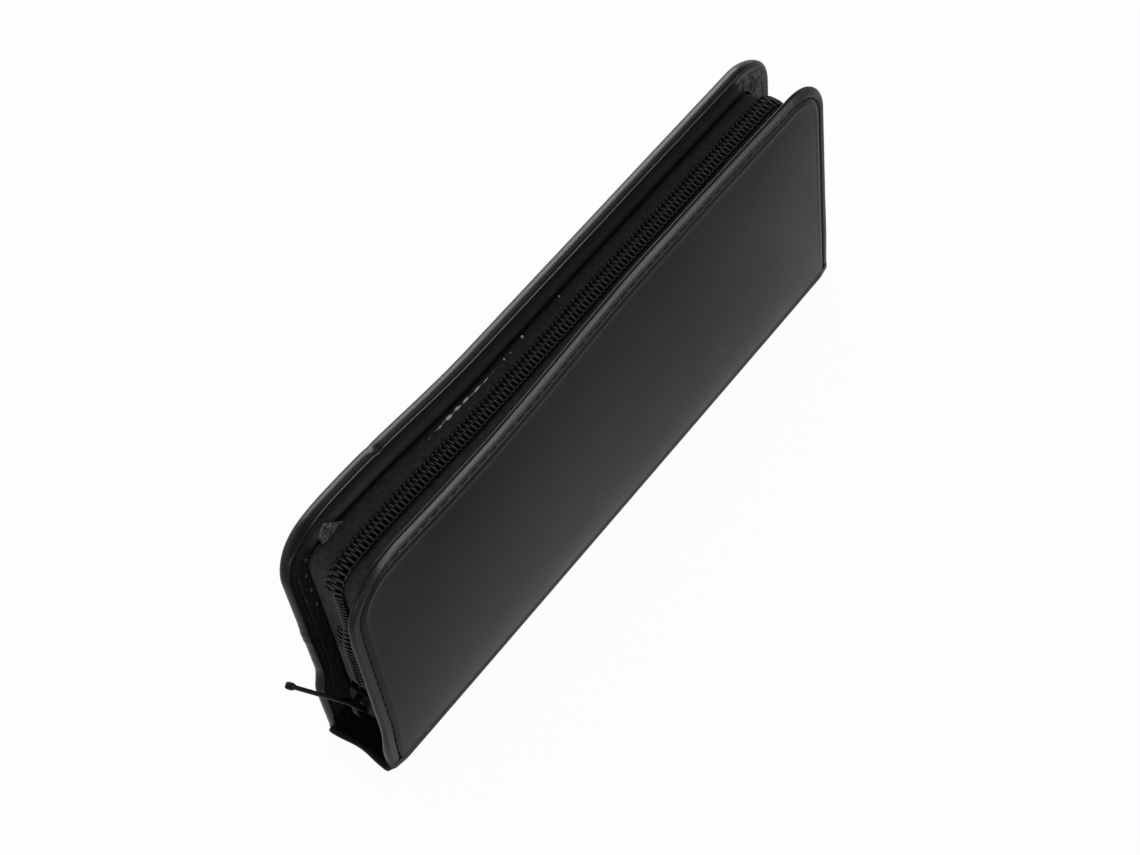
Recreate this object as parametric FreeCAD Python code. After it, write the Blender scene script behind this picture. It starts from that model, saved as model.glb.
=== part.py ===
import FreeCAD, Part
import math
import os
from FreeCAD import Vector

# A zip-round fountain pen case, closed and standing on its spine.
# +X runs along the case, with the slider's end at -X. The front cover is at -Y. +Z is up, to the zip.
# The origin is the middle of the spine's underside. All sizes are in millimetres.

# The closed case
CASE_LENGTH = 170.0
CASE_HEIGHT = 71.0
CASE_THICKNESS = 19.6
CORNER_RADIUS = 12.5      # the two corners at the zip edge
TIGHTEST_CORNER = 0.5     # the least radius that a layer inside that corner keeps
FIT = 0.1                 # clearance between pieces that are glued or sewn edge to edge

# The layers of a cover, from its outer face inwards
LEATHER = 0.7
PADDING = 0.4
BOARD = 0.8
LINING = 0.8
RIM_FLAT = 0.2            # what is left flat between the two roundings of the rolled rim
TURN_IN = 7.4             # how far the leather is turned in over the inner face
FOLD_ROUND = 2.0          # the leather's bend at the spine

# The spine
SPINE_BOARD = 1.2
SPINE_LINING = 0.6
HINGE_GAP = 0.3           # between the spine and each cover

# The seam round each cover
STITCH_INSET = 2.4
STITCH_LENGTH = 2.6
STITCH_PITCH = 3.5
THREAD = 0.5
SEAM_WIDTH = 0.9
SEAM_DEPTH = 0.35

# The coil zip
TAPE = 0.4
TAPE_HEM = 4.0            # the glued width of the tape under the lining
TAPE_EDGE = 1.3           # from the middle of the gap to the tape's woven edge
TAPE_FOOT_GAP = 0.7       # from the spine's lining up to the end of the tape
TAPE_TAIL = 7.0           # the length over which a tape end turns aside to its cover
COIL_PITCH = 1.27
COIL_WIDTH = 2.05
COIL_HEIGHT = 1.8
COIL_DIP = 0.5            # the depth of the dip between two turns
ROW_GAP = 0.3             # between the two rows of the closed zip
FAR_ROW_FOOT = 12.0       # the height where the rows end at the far end

# The slider and its pull
SLIDER_FOOT = 10.8
SLIDER_LENGTH = 9.4
SLIDER_MOUTH = 8.4
SLIDER_TAIL = 6.2
SLIDER_PLATE = 1.0
SLIDER_LIP = 0.75
SLIDER_CLEAR = 0.3        # between the slider and what runs through it
DIVIDER_WIDTH = 1.8
DIVIDER_LENGTH = 4.0
DIVIDER_SETBACK = 0.6
BRIDGE_WIDTH = 1.6
BRIDGE_STRAP = 0.8
BRIDGE_SETBACK = 1.2
BRIDGE_ROUND = 1.1
PULL_PIN = 1.0
PULL_CLEAR = 0.4          # round the pull's pin, under the bridge
PULL_ARM = 0.9
PULL_EYE_WIDTH = 2.6
PULL_EYE_LENGTH = 4.3
PULL_LENGTH = 35.8
PULL_ROOT_WIDTH = 4.6
PULL_NECK = 3.0           # over which the tab narrows behind its eye
PULL_BAR_WIDTH = 2.6
PULL_TIP_WIDTH = 2.0
PULL_THICKNESS = 1.0
PULL_TIP_BEAD = 1.7
PULL_ANGLE = 65.3         # above level, pointing out of the near end

# The elastic pen loops on the back cover
LOOP_COUNT = 3
LOOP_WIDTH = 14.0
LOOP_ROUND = 6.4
LOOP_CLEAR = 0.6          # between the loops and the pocket of the closed case
LOOP_SEAM = 1.6           # the sewn strip between two loops
BAND = 0.9
BAND_WIDTH = 16.0
BAND_SPACING = 76.0
BAND_TAB = 2.5            # the sewn strip at each end of a band
TACK_LENGTH = 2.6
TACK_PITCH = 3.6
TACK_HEIGHT = 0.3

# The slip pocket on the front cover
POCKET = 0.7
POCKET_LENGTH = 130.0
POCKET_HEIGHT = 38.0
POCKET_FOOT = 5.0
POCKET_HEM = 0.4
POCKET_HEM_WIDTH = 6.0

# Sizes that follow from those above
FRONT = -1
BACK = 1
HALF = CASE_THICKNESS / 2
COVER = LEATHER + PADDING + BOARD + LINING
BOARD_FACE = COVER - LINING
RIM_ROUND = (COVER - RIM_FLAT) / 2
EDGE_WRAP = LEATHER + RIM_FLAT
COVER_FOOT = LEATHER + FOLD_ROUND / 2
SPINE_WIDTH = CASE_THICKNESS - 2 * COVER - 2 * HINGE_GAP
SPINE_TOP = LEATHER + SPINE_BOARD + SPINE_LINING
TAPE_INSET = TURN_IN + FIT
TAPE_FOOT = SPINE_TOP + TAPE_FOOT_GAP
COIL_INSET = TAPE_INSET - FIT
TAPE_X = -CASE_LENGTH / 2 + TAPE_INSET
CHANNEL_OUT = TAPE_X - FIT - COIL_HEIGHT - SLIDER_CLEAR
CHANNEL_IN = TAPE_X + TAPE + SLIDER_CLEAR
SLIDER_TOP = SLIDER_FOOT + SLIDER_LENGTH
BRIDGE_GAP = PULL_PIN + 2 * PULL_CLEAR
PIVOT_X = CHANNEL_OUT - SLIDER_PLATE - BRIDGE_GAP / 2
PIVOT_Z = SLIDER_FOOT + SLIDER_LENGTH / 2
LOOP_PITCH = LOOP_WIDTH + 2 * BAND + LOOP_SEAM
LOOP_RISE = CASE_THICKNESS - 2 * COVER - POCKET - POCKET_HEM - LOOP_CLEAR - BAND
BAND_LENGTH = LOOP_COUNT * LOOP_PITCH - LOOP_SEAM + 2 * BAND_TAB
BAND_MIDDLE = (SPINE_TOP + CASE_HEIGHT - TAPE_INSET - TAPE) / 2
PAST = 1.0                # how far a cutting shape runs past the face that it opens


def corner_radius(inset):
    """The radius of the zip edge's corners on a line that lies inside the case's outline."""
    return max(CORNER_RADIUS - inset, TIGHTEST_CORNER)


def edge_line(inset, foot):
    """Edges up the near end, along the zip edge and down the far end, in the plane y = 0."""
    half = CASE_LENGTH / 2 - inset
    top = CASE_HEIGHT - inset
    radius = corner_radius(inset)
    slant = radius * math.sqrt(0.5)
    near_start = Vector(-half, 0, foot)
    near_end = Vector(-half, 0, top - radius)
    near_mid = Vector(-half + radius - slant, 0, top - radius + slant)
    top_start = Vector(-half + radius, 0, top)
    top_end = Vector(half - radius, 0, top)
    far_mid = Vector(half - radius + slant, 0, top - radius + slant)
    far_start = Vector(half, 0, top - radius)
    far_end = Vector(half, 0, foot)
    return [
        Part.LineSegment(near_start, near_end).toShape(),
        Part.Arc(near_end, near_mid, top_start).toShape(),
        Part.LineSegment(top_start, top_end).toShape(),
        Part.Arc(top_end, far_mid, far_start).toShape(),
        Part.LineSegment(far_start, far_end).toShape(),
    ]


def layer(side, inset, foot, outer, inner):
    """A slab of the cover's outline between two depths, counted from the cover's outer face inwards."""
    edges = edge_line(inset, foot)
    first = edges[0].Vertexes[0].Point
    last = edges[-1].Vertexes[-1].Point
    face = Part.Face(Part.Wire(edges + [Part.LineSegment(last, first).toShape()]))
    face.translate(Vector(0, side * (HALF - outer), 0))
    return face.extrude(Vector(0, side * (outer - inner), 0))


def band_of(side, inset, width, foot, outer, inner):
    """A strip of even width that follows the cover's three free sides, between two depths."""
    strip = layer(side, inset, foot, outer, inner)
    return strip.cut(layer(side, inset + width, foot - PAST, outer - PAST, inner + PAST))


def bar(points, direction):
    """A straight bar of a polygon section."""
    return Part.Face(Part.makePolygon(points + points[:1])).extrude(direction)


def block(x_range, y_range, z_range):
    """A box between two limits on each axis, in either order."""
    lows = [min(limits) for limits in (x_range, y_range, z_range)]
    highs = [max(limits) for limits in (x_range, y_range, z_range)]
    sizes = [high - low for low, high in zip(lows, highs)]
    return Part.makeBox(sizes[0], sizes[1], sizes[2], Vector(*lows))


def edge_lengths(inset, foot):
    """The lengths of an end leg, of a corner's arc and of the straight zip edge on an inset line."""
    radius = corner_radius(inset)
    leg = CASE_HEIGHT - inset - radius - foot
    run = CASE_LENGTH - 2 * inset - 2 * radius
    return leg, radius * math.pi / 2, run


def edge_place(inset, foot, distance):
    """The point at a distance along an inset line from its near foot, and its heading in degrees from +X."""
    leg, bend, run = edge_lengths(inset, foot)
    radius = corner_radius(inset)
    half = CASE_LENGTH / 2 - inset
    base = foot + leg
    if distance <= leg:
        return Vector(-half, 0, foot + distance), 90.0
    distance -= leg
    if distance <= bend:
        turn = distance / radius
        point = Vector(-half + radius - radius * math.cos(turn), 0, base + radius * math.sin(turn))
        return point, 90.0 - math.degrees(turn)
    distance -= bend
    if distance <= run:
        return Vector(-half + radius + distance, 0, base + radius), 0.0
    distance -= run
    if distance <= bend:
        turn = distance / radius
        point = Vector(half - radius + radius * math.sin(turn), 0, base + radius * math.cos(turn))
        return point, -math.degrees(turn)
    return Vector(half, 0, base - (distance - bend)), -90.0


def cover_leather(side):
    """The outer leather of a cover: a tray with a rolled rim, turned in over the inner face."""
    shell = layer(side, 0, 0, 0, COVER)
    faces = (HALF, HALF - COVER)
    rim = []
    for edge in shell.Edges:
        centre = edge.CenterOfMass
        on_face = min(abs(abs(centre.y) - face) for face in faces) < FIT
        if on_face and centre.z > FIT:
            rim.append(edge)
    shell = shell.makeFillet(RIM_ROUND, rim)
    # The bend at the spine
    start = Vector(-CASE_LENGTH / 2 - PAST, side * HALF, FOLD_ROUND)
    end = Vector(start.x, side * (HALF - FOLD_ROUND), 0)
    slant = FOLD_ROUND * (1 - math.sqrt(0.5))
    middle = Vector(start.x, side * (HALF - slant), slant)
    out_up = Vector(start.x, side * (HALF + PAST), FOLD_ROUND)
    out_down = Vector(start.x, side * (HALF + PAST), -PAST)
    in_down = Vector(start.x, side * (HALF - FOLD_ROUND), -PAST)
    edges = [Part.Arc(start, middle, end).toShape()]
    for a, b in ((end, in_down), (in_down, out_down), (out_down, out_up), (out_up, start)):
        edges.append(Part.LineSegment(a, b).toShape())
    bend = Part.Face(Part.Wire(edges)).extrude(Vector(CASE_LENGTH + 2 * PAST, 0, 0))
    shell = shell.cut(bend)
    # Room for the padding and board, the window for the lining, and the seam's groove
    shell = shell.cut(layer(side, EDGE_WRAP, COVER_FOOT, LEATHER, BOARD_FACE))
    shell = shell.cut(layer(side, TURN_IN, COVER_FOOT, BOARD_FACE, COVER + PAST))
    groove = band_of(side, STITCH_INSET - SEAM_WIDTH / 2, SEAM_WIDTH, FOLD_ROUND, -PAST, SEAM_DEPTH)
    return shell.cut(groove)


def cover_padding(side):
    """The thin foam between leather and board."""
    return layer(side, EDGE_WRAP + FIT, COVER_FOOT + FIT, LEATHER, LEATHER + PADDING)


def cover_board(side):
    """The stiffener that keeps the cover flat."""
    return layer(side, EDGE_WRAP + FIT, COVER_FOOT + FIT, LEATHER + PADDING, BOARD_FACE)


def cover_lining(side):
    """The lining sheet, stepped round its edge where it covers the hem of the zip tape."""
    sheet = layer(side, TAPE_INSET + TAPE + FIT, COVER_FOOT + FIT, BOARD_FACE, COVER)
    step = band_of(side, TAPE_INSET, TAPE_HEM + FIT, 0, BOARD_FACE - PAST, BOARD_FACE + TAPE)
    return sheet.cut(step)


def cover_stitching(side):
    """The row of stitches round a cover's three free sides, flush in its groove."""
    leg, bend, run = edge_lengths(STITCH_INSET, FOLD_ROUND)
    total = 2 * leg + 2 * bend + run
    count = int(total / STITCH_PITCH)
    pitch = total / count
    stitches = []
    for index in range(count):
        point, heading = edge_place(STITCH_INSET, FOLD_ROUND, (index + 0.5) * pitch)
        depths = (side * HALF, side * (HALF - SEAM_DEPTH))
        stitch = block((-STITCH_LENGTH / 2, STITCH_LENGTH / 2), depths, (-THREAD / 2, THREAD / 2))
        stitch.rotate(Vector(0, 0, 0), Vector(0, 1, 0), -heading)
        stitch.translate(point)
        stitches.append(stitch)
    return Part.makeCompound(stitches)


def zip_tape(side):
    """One half of the woven zip tape: a hem glued under the lining and a web across the gap."""
    web = band_of(side, TAPE_INSET, TAPE, TAPE_FOOT, BOARD_FACE, HALF - TAPE_EDGE)
    hem = band_of(side, TAPE_INSET, TAPE_HEM, TAPE_FOOT, BOARD_FACE, BOARD_FACE + TAPE)
    tape = web.fuse(hem).removeSplitter()
    # Both ends turn aside to the cover, so the web is cut on a slant there
    cover_face = HALF - COVER
    x = -CASE_LENGTH / 2
    section = [
        Vector(x, side * (TAPE_EDGE - PAST), TAPE_FOOT + TAPE_TAIL),
        Vector(x, side * TAPE_EDGE, TAPE_FOOT + TAPE_TAIL),
        Vector(x, side * cover_face, TAPE_FOOT),
        Vector(x, side * cover_face, TAPE_FOOT - PAST),
        Vector(x, side * (TAPE_EDGE - PAST), TAPE_FOOT - PAST),
    ]
    return tape.cut(bar(section, Vector(CASE_LENGTH, 0, 0)))


def coil_row(side, inner_edges, start, stop, foot):
    """A row of the coil between two distances along the tape, with a rib for each turn."""
    count = round((stop - start) / COIL_PITCH)
    pitch = (stop - start) / count
    profile = ((0.1, COIL_HEIGHT - COIL_DIP), (0.3, COIL_HEIGHT), (0.7, COIL_HEIGHT), (0.9, COIL_HEIGHT - COIL_DIP))
    ribs = []
    for index in range(count):
        for share, height in profile:
            point, heading = edge_place(COIL_INSET, foot, start + (index + share) * pitch)
            angle = math.radians(heading)
            ribs.append(point + Vector(-math.sin(angle), 0, math.cos(angle)) * height)
    first = inner_edges[0].Vertexes[0].Point
    last = inner_edges[-1].Vertexes[-1].Point
    crest = Part.makePolygon([first] + ribs + [last])
    face = Part.Face(Part.Wire(Part.__sortEdges__(inner_edges + crest.Edges)))
    face.translate(Vector(0, side * ROW_GAP / 2, 0))
    return face.extrude(Vector(0, side * COIL_WIDTH, 0))


def coil_near(side):
    """The coil's straight row above the slider."""
    foot = SLIDER_TOP + SLIDER_CLEAR
    leg = edge_lengths(COIL_INSET, foot)[0]
    return coil_row(side, edge_line(COIL_INSET, foot)[:1], 0, leg, foot)


def coil_top(side):
    """The coil's row round both corners and along the zip edge."""
    foot = FAR_ROW_FOOT
    leg, bend, run = edge_lengths(COIL_INSET, foot)
    return coil_row(side, edge_line(COIL_INSET, foot)[1:4], leg, leg + 2 * bend + run, foot)


def coil_far(side):
    """The coil's straight row at the far end."""
    foot = FAR_ROW_FOOT
    leg, bend, run = edge_lengths(COIL_INSET, foot)
    begin = leg + 2 * bend + run
    return coil_row(side, edge_line(COIL_INSET, foot)[4:], begin, begin + leg, foot)


def spine_layer(inset, bottom, top):
    """A flat strip of the spine between two heights, short of the case's ends by an inset."""
    half_length = CASE_LENGTH / 2 - inset
    half_width = SPINE_WIDTH / 2
    return block((-half_length, half_length), (-half_width, half_width), (bottom, top))


def spine_leather():
    """The leather of the spine, rolled at both ends and turned in over the board."""
    strip = spine_layer(0, 0, SPINE_TOP)
    ends = [edge for edge in strip.Edges if abs(edge.CenterOfMass.x) > CASE_LENGTH / 2 - FIT
            and abs(edge.CenterOfMass.y) < FIT]
    strip = strip.makeFillet((SPINE_TOP - RIM_FLAT) / 2, ends)
    strip = strip.cut(spine_layer(EDGE_WRAP, LEATHER, LEATHER + SPINE_BOARD))
    return strip.cut(spine_layer(TURN_IN, LEATHER + SPINE_BOARD, SPINE_TOP + PAST))


def arch(width, rise, rounding, x_start, x_length, z_middle):
    """A block with a round-shouldered top that stands on the back cover's lining."""
    floor = HALF - COVER
    top = floor - rise
    half = width / 2
    shoulder = min(rounding, half - FIT, rise - FIT)
    slant = shoulder * (1 - math.sqrt(0.5))
    low = z_middle - half
    high = z_middle + half
    points = [
        Vector(x_start, floor, low),
        Vector(x_start, top + shoulder, low),
        Vector(x_start, top, low + shoulder),
        Vector(x_start, top, high - shoulder),
        Vector(x_start, top + shoulder, high),
        Vector(x_start, floor, high),
    ]
    edges = [
        Part.LineSegment(points[0], points[1]).toShape(),
        Part.Arc(points[1], Vector(x_start, top + slant, low + slant), points[2]).toShape(),
        Part.LineSegment(points[2], points[3]).toShape(),
        Part.Arc(points[3], Vector(x_start, top + slant, high - slant), points[4]).toShape(),
        Part.LineSegment(points[4], points[5]).toShape(),
        Part.LineSegment(points[5], points[0]).toShape(),
    ]
    return Part.Face(Part.Wire(edges)).extrude(Vector(x_length, 0, 0))


def loop_middle(index):
    """The height of the middle of a pen loop."""
    return BAND_MIDDLE + (index - (LOOP_COUNT - 1) / 2) * LOOP_PITCH


def pen_band(x_middle):
    """An elastic band sewn down between its loops, open at both ends of each loop."""
    x_start = x_middle - BAND_WIDTH / 2
    floor = HALF - COVER
    z_range = (BAND_MIDDLE - BAND_LENGTH / 2, BAND_MIDDLE + BAND_LENGTH / 2)
    band = block((x_start, x_start + BAND_WIDTH), (floor - BAND, floor), z_range)
    hollows = []
    for index in range(LOOP_COUNT):
        middle = loop_middle(index)
        outside = arch(LOOP_WIDTH + 2 * BAND, LOOP_RISE + BAND, LOOP_ROUND + BAND, x_start, BAND_WIDTH, middle)
        band = band.fuse(outside)
        hollows.append(arch(LOOP_WIDTH, LOOP_RISE, LOOP_ROUND, x_start - PAST, BAND_WIDTH + 2 * PAST, middle))
    for hollow in hollows:
        band = band.cut(hollow)
    return band.removeSplitter()


def band_tacks():
    """The stitches that hold both bands down beside and between their loops."""
    surface = HALF - COVER - BAND
    tab = BAND_LENGTH / 2 - BAND_TAB / 2
    rows = [BAND_MIDDLE - tab, BAND_MIDDLE + tab]
    for index in range(LOOP_COUNT - 1):
        rows.append(loop_middle(index) + LOOP_PITCH / 2)
    count = int(BAND_WIDTH / TACK_PITCH)
    tacks = []
    for x_middle in (-BAND_SPACING / 2, BAND_SPACING / 2):
        for row in rows:
            for index in range(count):
                x = x_middle + (index - (count - 1) / 2) * TACK_PITCH
                x_range = (x - TACK_LENGTH / 2, x + TACK_LENGTH / 2)
                y_range = (surface - TACK_HEIGHT, surface)
                tacks.append(block(x_range, y_range, (row - THREAD / 2, row + THREAD / 2)))
    return Part.makeCompound(tacks)


def front_pocket():
    """The slip pocket's panel, lying on the front cover's lining."""
    inner = -HALF + COVER
    half = POCKET_LENGTH / 2
    return block((-half, half), (inner, inner + POCKET), (POCKET_FOOT, POCKET_FOOT + POCKET_HEIGHT))


def pocket_hem():
    """The binding along the pocket's mouth."""
    surface = -HALF + COVER + POCKET
    half = POCKET_LENGTH / 2
    top = POCKET_FOOT + POCKET_HEIGHT
    return block((-half, half), (surface, surface + POCKET_HEM), (top - POCKET_HEM_WIDTH, top))


def slider_outline(x, margin):
    """The slider plate's outline, wide at its mouth and narrow at its tail, drawn in by a margin."""
    mouth = SLIDER_MOUTH / 2 - margin
    tail = SLIDER_TAIL / 2 - margin
    waist = SLIDER_FOOT + SLIDER_LENGTH / 2
    return [
        Vector(x, -mouth, SLIDER_FOOT),
        Vector(x, mouth, SLIDER_FOOT),
        Vector(x, mouth, waist),
        Vector(x, tail, SLIDER_TOP),
        Vector(x, -tail, SLIDER_TOP),
        Vector(x, -mouth, waist),
    ]


def slider_body():
    """The cast slider: an outer and an inner plate, side lips and the divider between the two throats."""
    plate = Vector(SLIDER_PLATE, 0, 0)
    outer = bar(slider_outline(CHANNEL_OUT - SLIDER_PLATE, 0), plate)
    inner = bar(slider_outline(CHANNEL_IN, 0), plate)
    lip_height = TAPE_X - SLIDER_CLEAR - CHANNEL_OUT
    lips = bar(slider_outline(CHANNEL_OUT, 0), Vector(lip_height, 0, 0))
    room = slider_outline(CHANNEL_OUT - PAST, SLIDER_LIP)
    for corner in (0, 1):
        room[corner].z -= PAST
    for corner in (3, 4):
        room[corner].z += PAST
    lips = lips.cut(bar(room, Vector(lip_height + 2 * PAST, 0, 0)))
    foot = SLIDER_FOOT + DIVIDER_SETBACK
    half = DIVIDER_WIDTH / 2
    x = CHANNEL_OUT
    kite = [
        Vector(x, -half, foot),
        Vector(x, half, foot),
        Vector(x, half, foot + DIVIDER_LENGTH / 2),
        Vector(x, 0, foot + DIVIDER_LENGTH),
        Vector(x, -half, foot + DIVIDER_LENGTH / 2),
    ]
    divider = bar(kite, Vector(CHANNEL_IN - CHANNEL_OUT, 0, 0))
    return outer.fuse([lips, divider, inner]).removeSplitter()


def slider_bridge():
    """The strap over the outer plate that holds the pull's pin."""
    seat = CHANNEL_OUT - SLIDER_PLATE
    low = SLIDER_FOOT + BRIDGE_SETBACK
    high = SLIDER_TOP - BRIDGE_SETBACK
    sides = (-BRIDGE_WIDTH / 2, BRIDGE_WIDTH / 2)
    outside = block((seat - BRIDGE_GAP - BRIDGE_STRAP, seat), sides, (low, high))
    shoulders = [edge for edge in outside.Edges if edge.CenterOfMass.x < seat - BRIDGE_GAP
                 and abs(edge.CenterOfMass.y) < FIT]
    outside = outside.makeFillet(BRIDGE_ROUND, shoulders)
    sides = (-BRIDGE_WIDTH, BRIDGE_WIDTH)
    hollow = block((seat - BRIDGE_GAP, seat + PAST), sides, (low + BRIDGE_STRAP, high - BRIDGE_STRAP))
    return outside.cut(hollow)


def zip_pull():
    """The pull: a pin under the bridge, two arms round it and a slim bar with a beaded tip."""
    arm_out = PULL_EYE_WIDTH / 2 + PULL_ARM
    pin = Part.makeCylinder(PULL_PIN / 2, 2 * arm_out, Vector(0, -arm_out, 0), Vector(0, 1, 0))
    thick = PULL_PIN / 2
    pieces = []
    for side in (-1, 1):
        y_range = (side * PULL_EYE_WIDTH / 2, side * arm_out)
        pieces.append(block((0, -PULL_EYE_LENGTH - PAST), y_range, (-thick, thick)))
    tip = PULL_LENGTH - PULL_TIP_BEAD / 2
    neck = PULL_EYE_LENGTH + PULL_NECK
    low = -PULL_THICKNESS / 2
    outline = [
        Vector(-PULL_EYE_LENGTH, -PULL_ROOT_WIDTH / 2, low),
        Vector(-PULL_EYE_LENGTH, PULL_ROOT_WIDTH / 2, low),
        Vector(-neck, PULL_BAR_WIDTH / 2, low),
        Vector(-tip, PULL_TIP_WIDTH / 2, low),
        Vector(-tip, -PULL_TIP_WIDTH / 2, low),
        Vector(-neck, -PULL_BAR_WIDTH / 2, low),
    ]
    pieces.append(bar(outline, Vector(0, 0, PULL_THICKNESS)))
    bead_start = Vector(-tip, -PULL_TIP_WIDTH / 2, 0)
    pieces.append(Part.makeCylinder(PULL_TIP_BEAD / 2, PULL_TIP_WIDTH, bead_start, Vector(0, 1, 0)))
    pull = pin.fuse(pieces).removeSplitter()
    pull.rotate(Vector(0, 0, 0), Vector(0, 1, 0), PULL_ANGLE)
    pull.translate(Vector(PIVOT_X, 0, PIVOT_Z))
    return pull


def build_nodes():
    """Every piece of the case, by name."""
    nodes = {
        "spine_leather": spine_leather(),
        "spine_board": spine_layer(EDGE_WRAP + FIT, LEATHER, LEATHER + SPINE_BOARD),
        "spine_lining": spine_layer(TURN_IN + FIT, LEATHER + SPINE_BOARD, SPINE_TOP),
    }
    for name, side in (("front", FRONT), ("back", BACK)):
        nodes[name + "_leather"] = cover_leather(side)
        nodes[name + "_padding"] = cover_padding(side)
        nodes[name + "_board"] = cover_board(side)
        nodes[name + "_lining"] = cover_lining(side)
        nodes[name + "_stitching"] = cover_stitching(side)
        nodes[name + "_zip_tape"] = zip_tape(side)
        nodes[name + "_coil_near"] = coil_near(side)
        nodes[name + "_coil_top"] = coil_top(side)
        nodes[name + "_coil_far"] = coil_far(side)
    nodes["front_pocket"] = front_pocket()
    nodes["front_pocket_hem"] = pocket_hem()
    nodes["pen_band_near"] = pen_band(-BAND_SPACING / 2)
    nodes["pen_band_far"] = pen_band(BAND_SPACING / 2)
    nodes["pen_band_tacks"] = band_tacks()
    nodes["slider_body"] = slider_body()
    nodes["slider_bridge"] = slider_bridge()
    nodes["zip_pull"] = zip_pull()
    return nodes


os.makedirs("parts", exist_ok=True)
for node, shape in build_nodes().items():
    shape.exportStep("parts/" + node + ".step")
    print(node, "solids", len(shape.Solids), "valid", shape.isValid(), "volume", round(shape.Volume, 2))
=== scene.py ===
import math
import bmesh
import bpy
import numpy as np
from mathutils import Matrix, Vector

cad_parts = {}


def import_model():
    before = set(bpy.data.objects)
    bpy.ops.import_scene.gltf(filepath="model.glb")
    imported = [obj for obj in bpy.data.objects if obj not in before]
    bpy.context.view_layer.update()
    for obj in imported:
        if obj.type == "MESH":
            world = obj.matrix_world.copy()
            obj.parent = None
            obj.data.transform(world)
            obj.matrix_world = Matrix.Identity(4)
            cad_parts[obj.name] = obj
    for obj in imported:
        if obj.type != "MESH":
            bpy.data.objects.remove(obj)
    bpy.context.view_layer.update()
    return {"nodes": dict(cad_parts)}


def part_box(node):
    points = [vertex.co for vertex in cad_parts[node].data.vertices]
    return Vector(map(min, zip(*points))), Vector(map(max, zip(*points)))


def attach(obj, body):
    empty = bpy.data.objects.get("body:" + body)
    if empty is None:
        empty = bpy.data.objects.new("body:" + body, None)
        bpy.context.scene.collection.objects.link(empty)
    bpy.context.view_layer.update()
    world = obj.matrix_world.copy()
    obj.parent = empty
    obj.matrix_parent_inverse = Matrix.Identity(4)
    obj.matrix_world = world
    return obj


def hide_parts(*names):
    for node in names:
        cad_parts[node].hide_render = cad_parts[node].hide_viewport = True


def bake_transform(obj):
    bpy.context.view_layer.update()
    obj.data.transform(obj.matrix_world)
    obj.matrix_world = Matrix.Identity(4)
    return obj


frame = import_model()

MM = 0.001
FRONT = -1
BACK = 1
COVER_NAME = {FRONT: "front", BACK: "back"}
COVER_BODY = {FRONT: "front_cover", BACK: "back_cover"}
COVER_SIDE = {"front_cover": FRONT, "back_cover": BACK}
ALONG = np.array([1.0, 0.0, 0.0])
ACROSS = np.array([0.0, 1.0, 0.0])
UP = np.array([0.0, 0.0, 1.0])

# Sizes read from the frame
FRONT_LOW, FRONT_HIGH = np.array(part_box("front_leather"))
HALF_LENGTH = float(FRONT_HIGH[0])
HEIGHT = float(FRONT_HIGH[2])
HALF_THICK = float(-FRONT_LOW[1])
COVER = float(FRONT_HIGH[1] - FRONT_LOW[1])
INNER_FACE = HALF_THICK - COVER
TAPE_OUT = float(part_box("front_zip_tape")[1][2])
TAPE_FOOT = float(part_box("front_zip_tape")[0][2])
TAPE_EDGE = float(-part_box("front_zip_tape")[1][1])
TAPE_INSET = HEIGHT - TAPE_OUT
SLIDER_LOW, SLIDER_HIGH = np.array(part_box("slider_body"))
FAR_ROW_FOOT = float(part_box("back_coil_far")[0][2])
COIL_HEIGHT = float(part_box("back_coil_top")[1][2]) - TAPE_OUT
SPINE_TOP = float(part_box("spine_leather")[1][2])
SPINE_HALF = float(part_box("spine_leather")[1][1])

# Sizes of the finish
CORNER = 12.5 * MM          # the case's outer corners at the zip edge
FOOT_ROUND = 0.8 * MM       # its corners at the spine
FOOT = 2.6 * MM             # where the stiff covers end and the fold to the spine begins
FOLD_ROUND = 1.3 * MM
# A cover's edge, in millimetres and degrees: the radius at its inner edge, how far it stands over the inner
# face, its broad round, its pressed slope, the turns between those, and the radius that leads to level
ALONG_FOOT = (1.3, 0.0, 0.91, 0.32, (10, 50, 64), 1.3)
ALONG_LEGS = {FRONT: (0.8, -1.05, 0.4, 0.32, (10, 50, 64), 1.3), BACK: ALONG_FOOT}
ALONG_ZIP = {FRONT: (0.4, -1.2, 0.5, 1.5, (8, 50, 64), 0.3), BACK: (0.95, 0.35, 2.6, 1.0, (5, 45, 64), 0.3)}
EDGE_POINTS = 14            # points of that section round the inner edge
BAND_STEPS = 8              # steps over the broad round, and down the slope
LEVEL_POINTS = 4            # points on the way to level
INSIDE = 33                 # points before those, on the inside
CREASE_X = -52.0 * MM       # where the back rim is creased
TURN_IN = TAPE_INSET - 0.1 * MM
SEAM_NEAR = 2.9 * MM        # how far the seam lies from the rim at the near end
SEAM_TOP = 2.5 * MM         # along the zip edge
SEAM_FAR = 2.3 * MM         # at the far end
SEAM_DEPTH = 0.3 * MM
SEAM_WIDTH = 0.3 * MM
SEAM_WALL = 1.15 * MM       # the slope from the seam up to the panel
INNER_SEAM = 3.4 * MM       # how far the seam lies from the rim on the inside
PANEL_START = 6.5 * MM      # where the rim's grid gives way to the panel's
CROWN = 2.2 * MM            # how far the padding lifts the panel behind that
CROWN_REACH = 14.0 * MM
DRAW_REACH = 7.0 * MM       # how far in from the rim its drawing in is felt
STITCH_PITCH = 3.1 * MM
STITCH_LENGTH = 2.9 * MM
THREAD = 0.75 * MM          # flattened to half of that
SLAB_INSET = 2.8 * MM       # the boards and the padding end this far from the rim
TAPE_THICK = 0.35 * MM
COIL_PITCH = 1.27 * MM
COIL_WIRE = 0.58 * MM
COIL_OUT = 2.3 * MM         # from the middle of the chain to its side
COIL_HEAD = 0.42 * MM       # how far each turn reaches past the middle
COIL_CLEAR = 0.05 * MM      # from the tape to the coil
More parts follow.
